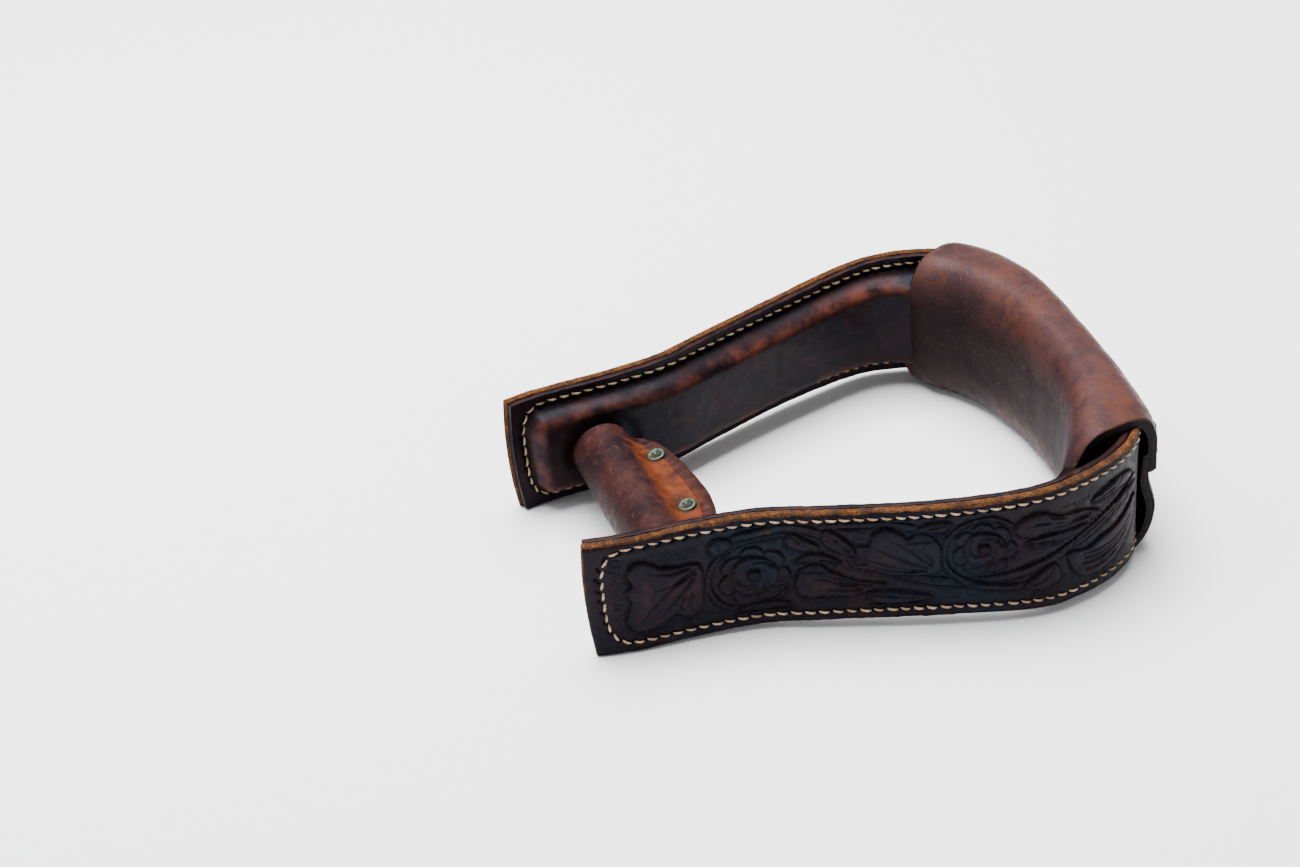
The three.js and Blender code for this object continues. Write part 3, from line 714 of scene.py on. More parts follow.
def cover_section(u, angle, inset, lower):
    """Point on the tread cover at u along the tread and an angle round its section. inset is the
    depth under its outside, and lower is 1 on the lower flap's side of the lap."""
    u, angle, inset, lower = np.broadcast_arrays(u, angle, inset, lower)
    hole, out = spline(HOLE_SIDE, u), spline(OUT_SIDE, u)
    across = out - hole
    width = np.hypot(across[..., 0], across[..., 1])
    across = across / width[..., None]
    top = spline(np.array(COVER_TOP)[:, None], u)[..., 0]
    a, b = width / 2, np.where(np.sin(angle) > 0, top, COVER_BOTTOM)
    power = 3.1 + 1.5 * np.clip(np.cos(angle), 0, 1) - 1.1 * np.clip(-np.cos(angle) * np.sin(angle), 0, 1)
    c, s = np.cos(angle), np.sin(angle)
    reach = (np.abs(c / a) ** power + np.abs(s / b) ** power) ** (-1 / power)
    x, z = reach * c, reach * s
    lean = 1.6 * np.clip(-c, 0, 1) * (0.5 - z / 60)
    sink = smoothstep(-14, 4, z) * smoothstep(0, 0.4, c) * lower * 3.6
    bulge = 0.1 * bell(z + 19, 8) * smoothstep(0, 0.4, c)
    # inwards normal of the section, for the thickness
    nx = -np.sign(c) * np.abs(x / a) ** (power - 1) / a
    nz = -np.sign(s) * np.abs(z / b) ** (power - 1) / b
    size = np.hypot(nx, nz) + 1e-9
    x = x + inset * nx / size - sink + bulge + lean
    z = z + inset * nz / size
    middle = (hole + out) / 2
    return xyz(middle[..., 0] + across[..., 0] * x, middle[..., 1] + across[..., 1] * x, z)


def lap_ripple(y):
    """How far the upper flap's free edge is drawn down between the lace bars."""
    phase = (y - LACE_YS[0]) / LACE_SPACING
    saw = phase - np.floor(phase)
    return 1.7 * np.sin(math.pi * saw) ** 2 * (0.4 + 0.9 * saw)


def tread_cover(material):
    """The wrapped cover: a ring of columns round its section, from the tooled side to the plain
    side, with a cut rim at each end and a lap along the outside."""
    u = np.linspace(0, 1, COVER_ROWS)
    angle = COVER_START + (COVER_END - COVER_START) * np.linspace(0, 1, COVER_COLUMNS)
    # even steps round the section rather than even angles
    probe = cover_section(0.5, angle, 0.0, 0.0)
    steps = arc_lengths(probe[:, [0, 2]])
    angle = np.interp(np.linspace(0, steps[-1], COVER_COLUMNS), steps, angle)
    lower = (angle > math.pi).astype(float)[None, :]
    far_cut = 0.05 * smoothstep(0.35, 1, np.sin(angle)) * (angle < math.pi)
    u_at = u[:, None] * (1 - far_cut[None, :])
    out_y = spline(OUT_SIDE, u)[:, 1:]
    edge_pull = smoothstep(0.75, -0.05, angle)[None, :]
    at = cover_section(u_at, angle[None, :], 0.0, lower)
    z_shift = LAP_EDGE_Z - at[:, :1, 2] - lap_ripple(out_y)
    ripple = 0.45 * fractal(at, 34, 2) + 0.28 * fractal(at, 9, 2) + 0.05 * fractal(at, 1.7, 2)
    front = smoothstep(0.3, 0.9, np.cos(angle))[None, :]
    # puckers drawn up by the lace, and the dents of its slots
    pucker = 0.35 * np.cos(2 * math.pi * (out_y - LACE_YS[0]) / LACE_SPACING)
    pucker = pucker * front * bell(at[..., 2] - 14, 12)
    dent = np.zeros(at.shape[:2])
    painted_shade = np.zeros(at.shape[:2])
    for y in LACE_YS:
        for height, flap in ((LACE_TOP, 0.0), (LACE_BOTTOM, 1.0)):
            where = (front > 0.1) & (lower == flap)
            oval = np.hypot((at[..., 1] - y) / SLOT_HALF[0], (at[..., 2] - height) / SLOT_HALF[1])
            dent += np.where(where, 2.6 * smoothstep(1.15, 0.6, oval), 0)
            # painted shade in each lace slot
            painted_shade = np.maximum(painted_shade, np.where(where, smoothstep(1.6, 0.8, oval), 0))
    rim = np.minimum(u, 1 - u)[:, None] * COVER_SPAN
    inset = dent - ripple - pucker + 0.5 * smoothstep(2.5, 0, rim)
    thickness = COVER_LEATHER * (1 - 0.35 * smoothstep(2 * math.pi - 0.1, COVER_END, angle)[None, :])
    outside = cover_section(u_at, angle[None, :], inset, lower)
    inside = cover_section(u_at, angle[None, :], inset + thickness, lower)
    for sheet in (outside, inside):
        sheet[..., 2] += z_shift * edge_pull
    turn = np.linspace(0, 1, LAP_COLUMNS + 2)[1:-1]
    bulge = 0.5 * np.sin(math.pi * turn)
    first = outside[:, -1:] * (1 - turn[None, :, None]) + inside[:, -1:] * turn[None, :, None]
    last = inside[:, :1] * (1 - turn[None, :, None]) + outside[:, :1] * turn[None, :, None]
    first[..., 2] += bulge
    last[..., 2] -= bulge
    ring = np.concatenate([outside, first, inside[:, ::-1], last], axis=1)
    # the top shoulder made lighter: wear, and a painted highlight on the top
    shoulder_wear_and_highlight = bell(np.sin(angle)[None, :] - 0.92, 0.22) * (0.5 + 0.6 * fractal(at, 22, 2))
    lightened = np.clip(shoulder_wear_and_highlight + 0.9 * bell(rim, 1.6) * (0.5 + 0.5 * fractal(at, 5, 2)), 0, 1)
    # painted shade: the hole side, away from the light, made darker
    hole_side_shade = np.tile(smoothstep(-0.2, -0.9, np.cos(angle)), (COVER_ROWS, 1))

    def whole(outer, edge, inner):
        """A mask over the ring from its outer face, its two free edges and its inner face."""
        edges = np.full((COVER_ROWS, LAP_COLUMNS), edge)
        return np.concatenate([outer, edges, np.full_like(outer, inner), edges], axis=1)

    # painted shade along the rims where the cover meets the straps, on the free edges and over the inside
    painted_shade = np.maximum(painted_shade, 0.75 * bell(rim, 0.9))
    masks = [whole(lightened, 0.0, 0), whole(painted_shade, 1.0, 0.8), whole(hole_side_shade, 0.0, 0)]
    faces = grid_faces(COVER_ROWS, ring.shape[1], close_columns=True).tolist()
    count, width = len(angle), ring.shape[1]
    points = [ring.reshape(-1, 3)]
    masks = [xyz(*masks).reshape(-1, 3)]
    # the cut rims: a strip of three between the outer and inner surface at each end
    offset = COVER_ROWS * width
    for row, outward in ((0, -1), (COVER_ROWS - 1, 1)):
        o, i = ring[row, :count], ring[row, count + LAP_COLUMNS:2 * count + LAP_COLUMNS][::-1]
        step = ring[row, :count] - ring[row - outward, :count]
        step = step / np.linalg.norm(step, axis=1)[:, None]
        strip = [o * (1 - w) + i * w + step * (0.55 * math.sin(math.pi * w)) for w in (0.25, 0.5, 0.75)]
        grain = 0.12 * fractal(o, 1.5, 2)[:, None]
        points += [p + step * grain for p in strip]
        masks += [np.tile([0.0, 1.0, 0.0], (count, 1)) for _ in strip]
        front_ids = row * width + np.arange(count)
        back_ids = row * width + 2 * count + LAP_COLUMNS - 1 - np.arange(count)
        chain = [front_ids] + [offset + k * count + np.arange(count) for k in range(3)] + [back_ids]
        offset += 3 * count
        for p, q in zip(chain[:-1], chain[1:]):
            quad = np.column_stack([p[:-1], p[1:], q[1:], q[:-1]])
            faces += (quad if outward < 0 else quad[:, ::-1]).tolist()
        for k in (0, count - 1):
            start = row * width + (2 * count + LAP_COLUMNS if k == 0 else count)
            bridge = list(range(start, start + LAP_COLUMNS))
            poly = [c[k] for c in chain] + (bridge if k == 0 else bridge[::-1])
            faces.append(poly if (outward < 0) == (k > 0) else poly[::-1])
    build("tread_cover_leather", np.vstack(points), faces, material, replaces=["tread_cover"],
          mask=np.vstack(masks))


def lace(material):
    """Flat lace bars drawn from slots in the lower flap up over the lap into the upper flap."""
    u = np.linspace(0, 1, 600)
    ys = spline(OUT_SIDE, u)[:, 1]
    angle = np.linspace(-0.5, 1.2, 300)
    points, faces, masks = [], [], []
    across = np.linspace(-1, 1, 13)
    for k, y in enumerate(LACE_YS):
        slope = 0.35 * math.sin(2.3 * k)
        here = np.interp(y, ys, u)
        near = cover_section(here, angle, 0.0, 0.0)
        low = cover_section(here, angle, 0.0, 1.0)
        z = np.linspace(LACE_BOTTOM - 0.4, LACE_TOP + 0.2, 44)
        upper_x = np.interp(z, near[:, 2], near[:, 0])
        lower_x = np.interp(z, low[:, 2], low[:, 0])
        over = smoothstep(2.2, 5.4, z)
        x = lower_x * (1 - over) + upper_x * over
        x = x + 0.6 + 0.5 * bell(z - 5, 3.5)
        x = x - 3.4 * smoothstep(LACE_TOP - 2.6, LACE_TOP + 0.4, z)
        x = x - 3.2 * smoothstep(3.2, LACE_BOTTOM - 0.6, z)
        half = (3.3 + 0.25 * np.sin(z / 3 + k)) * (1 - 0.14 * smoothstep(LACE_TOP - 4, LACE_TOP, z))
        crown = 0.55 * (1 - across**2)
        edge = 1.6 * (1 - across**8)
        yy = y + slope * (z - 10)[:, None] / 10 + half[:, None] * across[None, :]
        top_x = x[:, None] + crown[None, :] + 0.8 - 0.35 * across[None, :] ** 6
        low_x = top_x - 0.25 - edge[None, :]
        top_x = top_x + 0.12 * fractal(xyz(top_x, yy, z[:, None]), 2.4, 2)
        front = xyz(top_x, yy, z[:, None])
        back = xyz(low_x, yy, z[:, None])[:, ::-1]
        ring = np.concatenate([front, back], axis=1)
        start = sum(len(p) for p in points)
        faces += sheet_ring(len(z), ring.shape[1], True, start)
        points.append(ring.reshape(-1, 3))
        # the lace's worn edges are made lighter
        lightened = np.concatenate([np.abs(across) ** 4, np.zeros(len(across))])
        # painted shade where the lace goes down into its slots
        slot_shade = smoothstep(LACE_TOP - 2, LACE_TOP, z) + smoothstep(2.6, 1.0, z)
        masks.append(xyz(lightened, slot_shade[:, None]).reshape(-1, 2))
    build("tread_lace_bars", np.vstack(points), faces, material, replaces=["tread_cover_lace"],
          mask=np.vstack(masks))


# ---- sleeve on the bar ----
FLAP_OUTLINE = [(-37, 11.75), (-33, 19.5), (-25, 25.0), (-14, 26.3), (-3, 25.3), (8.4, 23.8), (20, 21.4),
                (28.5, 16.8), (34, 11.75)]


def flap_reach(y):
    return np.interp(y, *np.array([(-60, 9)] + FLAP_OUTLINE + [(60, 9)]).T)


def sleeve(material):
    """The sleeve's tube with its two-layer flap: valley, pressed line and rolled lip."""
    edge = SLEEVE_HALF_LENGTH
    y = np.concatenate([[-edge], np.linspace(-edge + 0.4, edge - 0.4, 190), [edge]])
    reach = flap_reach(y)
    smooth = np.convolve(np.pad(reach, 9, mode="edge"), np.ones(19) / 19, mode="valid")
    reach = np.where(smooth > 12.2, smooth, 11.75)
    t = np.linspace(0, 1, 70)
    # from the lip over the upper face to the tube, round it, and back under the flap
    over = np.radians(np.interp(t, [0, 0.55, 1], [0.6, 9, 62]))
    around = np.radians(np.linspace(62, 298, 90)[1:-1])
    under = np.radians(np.interp(t, [0, 0.45, 1], [298, 351, 359.4]))
    theta = np.concatenate([over, around, under])
    turn = np.where(theta > math.pi, theta - 2 * math.pi, theta)
    sine = np.maximum(np.abs(np.sin(turn)), 1e-3)
    tip = reach[:, None]
    upper = turn[None, :] >= 0
    thickness = np.where(upper, 2.35, 2.2)
    radial = np.minimum(tip, thickness / sine)
    # the lip rolls over near its edge, and a line is pressed along the valley side of it
    back_from_tip = tip - radial
    lip = np.where(upper, 1.0 * bell(back_from_tip - 1.6, 1.5) - 0.5 * bell(back_from_tip - 4.6, 0.9), 0)
    lip *= smoothstep(13.5, 19, tip)
    radial = np.minimum(tip, (thickness + lip) / sine)
    corner = 1.3
    soft = np.exp(-np.maximum(tip - thickness / sine, 0) / corner)
    radial = radial - 0.9 * soft * (tip > 13)
    radial = np.where(np.cos(turn) > 0, radial, 1.0)
    valley = np.where(upper, 3.0, 4.0)
    radial = (radial**valley + SLEEVE_RADIUS**valley) ** (1 / valley)
    radial = np.minimum(radial, np.maximum(tip, SLEEVE_RADIUS))
    blend = smoothstep(11.8, 15.0, tip)
    radial = SLEEVE_RADIUS * (1 - blend) + radial * blend
    yy = np.tile(y[:, None], (1, len(theta)))
    place_at = xyz(radial * np.cos(theta), yy, radial * np.sin(theta))
    radial = radial + 0.22 * fractal(place_at, 17, 2) + 0.05 * fractal(place_at, 2, 2)
    split = bell(turn[None, :] * radial, 0.35) * smoothstep(14, 18, tip)
    radial = radial - 0.5 * split
    end = smoothstep(1.2, 0, SLEEVE_HALF_LENGTH - np.abs(yy))
    radial = radial - 0.7 * end**2
    droop = 1.5 * smoothstep(15, 27, radial) * smoothstep(0.6, 0, np.abs(turn))
    angle = theta[None, :] + FLAP_ANGLE
    x = radial * np.cos(angle)
    z = radial * np.sin(angle) - droop
    outer = xyz(x, yy, z)
    inner = xyz(SLEEVE_BORE * np.cos(angle), yy, SLEEVE_BORE * np.sin(angle))
    count = len(theta)
    level = radial * np.cos(turn)
    valley_mask = smoothstep(7.5, 10.5, level) * smoothstep(3.6, 5.2, tip - radial) * upper
    valley_mask = valley_mask * smoothstep(38, 33, np.abs(yy + 1))
    edge_mask = smoothstep(1.1, 0.3, tip - radial) * (tip > 14) + 0.7 * end
    line = 0.55 * bell(back_from_tip - 4.6, 0.8) * upper * (tip > 17)
    # painted shade in the split between the flap's two layers
    line = np.maximum(line, split)
    # the lip is made darker towards its edge, in patches
    lip_darkening = smoothstep(5.4, 1.2, back_from_tip) * (0.55 + 0.7 * fractal(place_at * [1, 0.3, 1], 5, 3))
    line = np.maximum(line, lip_darkening * upper * (tip > 17))
    # painted shade: the side of the tube away from the flap made darker
    far_side_shade = 0.62 * smoothstep(-0.1, -0.85, np.cos(theta))[None, :]
    line = np.maximum(line, far_side_shade * (0.75 + 0.5 * fractal(place_at, 14, 3)))
    for ry in (-RIVET_HALF_SPACING, RIVET_HALF_SPACING):
        away = np.hypot(radial - RIVET_REACH, yy - ry)
        near_flap = np.abs(turn)[None, :] < 0.6
        line = np.maximum(line, np.where(near_flap, 0.8 * smoothstep(5.2, 3.2, away), 0))
    zero = np.zeros_like(yy)
    # the bore's inside gets painted shade
    mask = np.vstack([xyz(valley_mask, line, np.clip(edge_mask, 0, 1)), xyz(zero, 0.6, 0)])
    points = np.vstack([outer.reshape(-1, 3), inner.reshape(-1, 3)])
    rows = len(y)
    faces = grid_faces(rows, count, close_columns=True).tolist()
    faces += grid_faces(rows, count, rows * count, close_columns=True, flip=True).tolist()
    k = np.arange(count)
    after = (k + 1) % count
    first = np.column_stack([k, k + rows * count, after + rows * count, after])
    last = np.column_stack([k, after, after + rows * count, k + rows * count]) + (rows - 1) * count
    build("bar_sleeve_leather", points, faces + first.tolist() + last.tolist(), material,
          body="sleeve", replaces=["bar_sleeve"], mask=mask)


def spun(profile, segments=40):
    """Surface of revolution of (radius, height) pairs, about the local height axis."""
    angle = np.linspace(0, 2 * math.pi, segments, endpoint=False)
    radius, height = np.array(profile).T[:, :, None]
    return xyz(radius * np.cos(angle), radius * np.sin(angle), height)


def rivet(side, material):
    """A tubular rivet: a rolled ring split into a star above, a domed cap below the flap."""
    name = SIDE_WORD[side] + "_side_sleeve_rivet"
    y = side * RIVET_HALF_SPACING
    top, low = 2.75, -2.3
    upper = [(0.02, top - 0.1), (0.5, top - 0.08), (1.1, top + 0.05), (1.7, top + 0.35), (2.1, top + 0.6),
             (2.6, top + 0.8), (3.05, top + 0.74), (3.4, top + 0.45), (3.55, top + 0.05), (3.5, top - 0.6),
             (2.0, top - 0.8), (2.0, 0.0), (2.0, low + 0.4), (3.75, low + 0.2), (3.8, low - 0.1),
             (3.6, low - 0.4), (2.9, low - 0.8), (1.8, low - 1.1), (0.8, low - 1.22), (0.02, low - 1.25)]
    ring = spun(upper)
    angle = np.arctan2(ring[..., 1], ring[..., 0])
    radius = np.hypot(ring[..., 0], ring[..., 1])
    split = (0.5 + 0.5 * np.cos(6 * angle)) ** 5 * bell(radius - 1.5, 0.9) * (ring[..., 2] > 0)
    ring[..., 2] -= 0.5 * split
    ring = ring + 0.05 * fractal(ring + 5 * side, 0.8, 2)[..., None]
    c, s = math.cos(FLAP_ANGLE), math.sin(FLAP_ANGLE)
    x = RIVET_REACH + ring[..., 0]
    up = ring[..., 2]
    points = xyz(x * c - up * s, y + ring[..., 1], x * s + up * c)
    # painted shade in the splits and the tube's hole
    painted_shade = np.clip(split + smoothstep(1.2, 0.4, radius) * (up > 0), 0, 1)
    mask = xyz(bell(radius - 2.9, 0.7), painted_shade)
    faces = grid_faces(len(points), points.shape[1], close_columns=True, flip=True).tolist()
    build(name, points, faces, material, body="sleeve", replaces=[name], mask=mask)


# ---- materials: (material, record slot) pairs. In the mask, red is raw or worn leather, with a painted highlight on the linings' and cover's shoulders; green is painted shade in cuts, holes, slots, creases and gaps, and other darker marks;
# blue is a worn high spot, a raw edge or the painted shade of the side that is away from the light ----
class Nodes:
    """A few helpers for building one material's node tree."""

    def __init__(self, name, slot=None):
        self.slot = slot or name
        self.material = bpy.data.materials.new(name)
        self.material.use_nodes = True
        self.tree = self.material.node_tree
        self.shader = self.tree.nodes["Principled BSDF"]
        self.where = self.add("ShaderNodeTexCoord").outputs["Object"]
        mask = self.add("ShaderNodeAttribute")
        mask.attribute_name = "mask"
        split = self.add("ShaderNodeSeparateColor")
        self.link(mask.outputs["Color"], split.inputs[0])
        self.red, self.green, self.blue = split.outputs

    def add(self, kind):
        return self.tree.nodes.new(kind)

    def link(self, a, b):
        self.tree.links.new(a, b)

    def put(self, value, socket):
        if isinstance(value, bpy.types.NodeSocket):
            self.link(value, socket)
        elif isinstance(value, tuple):
            socket.default_value = (*value, 1.0)[:4]
        else:
            socket.default_value = value

    def noise(self, size_mm, detail=3.0, rough=0.55, stretch=None):
        node = self.add("ShaderNodeTexNoise")
        where = self.where
        if stretch:
            mapping = self.add("ShaderNodeMapping")
            mapping.inputs["Scale"].default_value = stretch
            self.link(where, mapping.inputs["Vector"])
            where = mapping.outputs[0]
        self.link(where, node.inputs["Vector"])
        node.inputs["Scale"].default_value = 1000 / size_mm
        node.inputs["Detail"].default_value = detail
        node.inputs["Roughness"].default_value = rough
        return node.outputs["Fac"]

    def cells(self, size_mm):
        node = self.add("ShaderNodeTexVoronoi")
        self.link(self.where, node.inputs["Vector"])
        node.inputs["Scale"].default_value = 1000 / size_mm
        return node.outputs["Distance"]

    def band(self, value, low, high, out_low=0.0, out_high=1.0):
        node = self.add("ShaderNodeMapRange")
        node.interpolation_type = "SMOOTHSTEP"
        self.put(value, node.inputs["Value"])
        for key, number in zip(("From Min", "From Max", "To Min", "To Max"), (low, high, out_low, out_high)):
            node.inputs[key].default_value = number
        return node.outputs["Result"]

    def cloud(self, low, high, *noise):
        """Patches of noise: 0 where it is under low and 1 where it is over high."""
        return self.band(self.noise(*noise), low, high)

    def uneven(self, size_mm, low, high, detail=4):
        """A roughness that wanders between two values."""
        return self.band(self.noise(size_mm, detail), 0.3, 0.7, low, high)

    def math(self, operation, a, b):
        node = self.add("ShaderNodeMath")
        node.operation = operation
        self.put(a, node.inputs[0])
        self.put(b, node.inputs[1])
        return node.outputs[0]

    def mix(self, factor, a, b):
        node = self.add("ShaderNodeMix")
        node.data_type = "RGBA"
        self.put(factor, node.inputs["Factor"])
        self.put(a, node.inputs[6])
        self.put(b, node.inputs[7])
        return node.outputs[2]

    def tint(self, base, where, strength, colour):
        """Lay a colour over the base where a value says so, up to that strength."""
        return self.mix(self.math("MULTIPLY", where, strength), base, colour)

    def bump(self, height, distance_mm, strength=1.0, under=None):
        node = self.add("ShaderNodeBump")
        node.inputs["Strength"].default_value = strength
        node.inputs["Distance"].default_value = distance_mm / 1000
        self.link(height, node.inputs["Height"])
        if under:
            self.link(under, node.inputs["Normal"])
        return node.outputs["Normal"]

    def finish(self, colour, roughness, normal, **fixed):
        self.put(colour, self.shader.inputs["Base Color"])
        self.put(roughness, self.shader.inputs["Roughness"])
        self.link(normal, self.shader.inputs["Normal"])
        for key, value in fixed.items():
            self.shader.inputs[key.replace("_", " ")].default_value = value
        return self.material, self.slot


COOL_SHEEN = (0.62, 0.76, 1.0, 1)
WARM_SHEEN = (1.0, 0.80, 0.80, 1)
RAW_ROUGHNESS = (0.85, 0.85, 0.85)


def leather_grain(m, pore_mm, depth_mm):
    """Pores, fine creases and a few scratches."""
    normal = m.bump(m.band(m.cells(pore_mm), 0.0, 0.55), depth_mm, 0.5)
    normal = m.bump(m.noise(0.45, 2), depth_mm * 0.7, 0.5, normal)
    normal = m.bump(m.noise(7, 6, 0.7), 0.5, 0.35, normal)
    return m.bump(m.cloud(0.64, 0.69, 5.0, 2, 0.5, (1.0, 0.15, 0.5)), 0.08, 0.25, normal)


def raw_edge(m, colour, amount):
    """Fuzzy orange-brown cut leather laid over a colour where the mask says so."""
    tan = m.mix(m.cloud(0.35, 0.68, 0.7, 4, 0.7), (0.026, 0.009, 0.003), (0.165, 0.066, 0.021))
    tan = m.mix(m.cloud(0.38, 0.62, 6, 4, 0.65), tan, (0.034, 0.016, 0.009))
    tan = m.mix(m.cloud(0.55, 0.75, 2.2, 3, 0.6), tan, (0.15, 0.052, 0.012))
    return m.mix(amount, colour, tan)


def strap_finish(m, base, gloss, grain, nap_mm, specular):
    """What the two straps share: raw leather at worn edges, the grain and its nap."""
    fray = m.math("MULTIPLY", m.noise(1.6, 4, 0.7), 0.45)
    worn = m.band(m.math("ADD", m.red, fray), 0.5, 0.9)
    normal = m.bump(m.noise(0.6, 4, 0.8), nap_mm, 0.35, leather_grain(m, *grain))
    return m.finish(raw_edge(m, base, worn), m.mix(worn, m.uneven(3.2, *gloss), RAW_ROUGHNESS), normal,
                    Specular_IOR_Level=specular, Specular_Tint=COOL_SHEEN)


def tooled_leather():
    m = Nodes("tooled_leather")
    base = m.mix(m.cloud(0.32, 0.68, 16, 4, 0.6), (0.00323, 0.002356, 0.00399), (0.00988, 0.00399, 0.00513))
    base = m.mix(m.cloud(0.52, 0.80, 4.5, 4, 0.6), base, (0.0171, 0.00646, 0.00494))
    base = m.mix(m.cloud(0.45, 0.7, 30), base, (0.0045, 0.0056, 0.0098))
    base = m.tint(base, m.blue, 0.6, (0.026, 0.0085, 0.0080))
    # light specks: dust, and painted glints
    light_specks = m.math("MULTIPLY", m.cloud(0.62, 0.78, 1.1, 4, 0.75), m.cloud(0.45, 0.62, 20, 2))
    base = m.tint(base, light_specks, 0.7, (0.0418, 0.0340, 0.0290))
    # painted shade in the cuts, stitch holes and pits
    base = m.tint(base, m.green, 0.85, (0.001064, 0.000836, 0.001064))
    return strap_finish(m, base, (0.34, 0.52), (0.8, 0.08), 0.5, 0.07)


def plain_leather():
    m = Nodes("plain_leather")
    base = m.mix(m.cloud(0.32, 0.68, 22, 5, 0.65), (0.00342, 0.002584, 0.00361), (0.01064, 0.00551, 0.00475))
    base = m.mix(m.cloud(0.5, 0.75, 5, 4, 0.6), base, (0.0076, 0.0057, 0.00608))
    light_specks = m.math("MULTIPLY", m.cloud(0.48, 0.72, 2.6, 5, 0.75), m.cloud(0.46, 0.66, 34))
    base = m.tint(base, light_specks, 0.55, (0.0323, 0.02584, 0.0171))
    # painted shade in the stitch holes
    base = m.tint(base, m.green, 0.85, (0.00114, 0.00095, 0.00114))
    return strap_finish(m, base, (0.52, 0.7), (0.9, 0.09), 0.4, 0.05)


def lining_leather():
    m = Nodes("lining_leather")
    base = m.mix(m.cloud(0.3, 0.7, 26, 4, 0.6), (0.0042, 0.0026, 0.0038), (0.0115, 0.0044, 0.0048))
    base = m.mix(m.cloud(0.52, 0.78, 6, 5, 0.65), base, (0.020, 0.0068, 0.0055))
    # red-brown on the shoulders: rubbed wear, and a painted highlight
    rubbed_and_highlight = m.math("MULTIPLY", m.red, m.cloud(0.34, 0.66, 12, 4, 0.6))
    base = m.tint(base, rubbed_and_highlight, 0.85, (0.115, 0.034, 0.019))
    base = m.tint(base, m.cloud(0.68, 0.8, 1.3, 3, 0.7), 0.35, (0.084, 0.042, 0.0252))
    # painted shade from the green mask
    base = m.tint(base, m.green, 0.88, (0.00189, 0.00147, 0.00189))
    return m.finish(base, m.uneven(4, 0.27, 0.44), leather_grain(m, 0.7, 0.05),
                    Specular_IOR_Level=0.065, Specular_Tint=COOL_SHEEN)


def cover_leather():
    m = Nodes("cover_leather")
    base = m.mix(m.cloud(0.32, 0.66, 30, 4, 0.6), (0.027, 0.0135, 0.0155), (0.062, 0.0270, 0.0255))
    base = m.mix(m.cloud(0.48, 0.78, 8, 5, 0.65), base, (0.038, 0.0185, 0.0215))
    rust = m.cloud(0.52, 0.68, 19, 4, 0.65, (1.0, 0.45, 1.0))
    base = m.tint(base, rust, 0.42, (0.090, 0.028, 0.012))
    # red-brown on the top shoulder and rims: wear, and on the top a painted highlight
    base = m.tint(base, m.red, m.cloud(0.4, 0.7, 5, 4, 0.7), (0.085, 0.03, 0.015))
    # painted shade over the hole side
    base = m.tint(base, m.blue, 0.92, (0.0050, 0.0026, 0.0038))
    scuffs = m.cloud(0.66, 0.76, 1.9, 3, 0.65, (0.16, 1.0, 0.6))
    base = m.tint(base, scuffs, 0.5, (0.13, 0.085, 0.065))
    base = m.tint(base, m.cloud(0.70, 0.78, 0.9, 2, 0.6), 0.65, (0.16, 0.12, 0.085))
    # painted shade: near-black in the lace slots, along the rims, on the free edges and inside
    cut = m.mix(m.cloud(0.4, 0.75, 1.0, 4, 0.75), (0.00275, 0.0024, 0.0026), (0.011, 0.0085, 0.007))
    base = m.mix(m.band(m.green, 0.25, 0.8), base, cut)
    gloss = m.mix(m.green, m.uneven(5, 0.30, 0.50), (0.75, 0.75, 0.75))
    gloss = m.tint(gloss, m.blue, 0.7, (0.74, 0.74, 0.74))
    return m.finish(base, gloss, leather_grain(m, 0.8, 0.11),
                    Specular_IOR_Level=0.10, Specular_Tint=WARM_SHEEN)


def sleeve_leather():
    m = Nodes("sleeve_leather")
    base = m.mix(m.cloud(0.34, 0.66, 15, 5, 0.65), (0.0095, 0.0042, 0.0055), (0.031, 0.0105, 0.0095))
    base = m.mix(m.cloud(0.5, 0.76, 4, 5, 0.7), base, (0.048, 0.018, 0.012))
    base = m.mix(m.cloud(0.58, 0.74, 9, 4, 0.6), base, (0.014, 0.006, 0.009))
    orange = m.mix(m.cloud(0.35, 0.7, 5, 4, 0.65), (0.112, 0.027, 0.008), (0.064, 0.015, 0.006))
    base = m.tint(base, m.red, m.cloud(0.2, 0.5, 7), orange)
    base = m.tint(base, m.blue, 0.6, (0.050, 0.0165, 0.008))
    # painted shade in the split, on the tube's far side and in the bore, with the darker pressed line, lip
    # and rivet surrounds
    base = m.tint(base, m.green, 0.85, (0.006, 0.003, 0.0035))
    scratches = m.cloud(0.64, 0.74, 2.4, 3, 0.65, (1.0, 0.3, 0.4))
    base = m.tint(base, scratches, 0.5, (0.11, 0.055, 0.035))
    return m.finish(base, m.uneven(4, 0.40, 0.60), leather_grain(m, 0.8, 0.10),
                    Specular_IOR_Level=0.075, Specular_Tint=WARM_SHEEN)


def lace_leather():
    m = Nodes("lace")
    base = m.mix(m.cloud(0.35, 0.7, 7, 4, 0.6), (0.005, 0.00375, 0.0045), (0.015, 0.008, 0.0075))
    base = m.tint(base, m.red, m.cloud(0.35, 0.65, 2, 4, 0.7), (0.05, 0.025, 0.015))
    # painted shade where the lace goes into its slots
    base = m.tint(base, m.green, 0.8, (0.002, 0.0015, 0.002))
    return m.finish(base, m.uneven(3, 0.32, 0.55), leather_grain(m, 0.7, 0.06),
                    Specular_IOR_Level=0.1, Specular_Tint=COOL_SHEEN)


def waxed_thread():
    m = Nodes("thread")
    base = m.mix(m.band(m.red, 0.0, 1.0), (0.26, 0.165, 0.085), (0.46, 0.33, 0.20))
    base = m.mix(m.cloud(0.45, 0.75, 0.8, 3, 0.6), base, (0.20, 0.11, 0.05))
    # painted shade at the stitch ends
    base = m.tint(base, m.green, 0.45, (0.10, 0.05, 0.03))
    return m.finish(base, 0.7, m.bump(m.noise(0.35, 3, 0.6), 0.15, 0.5))


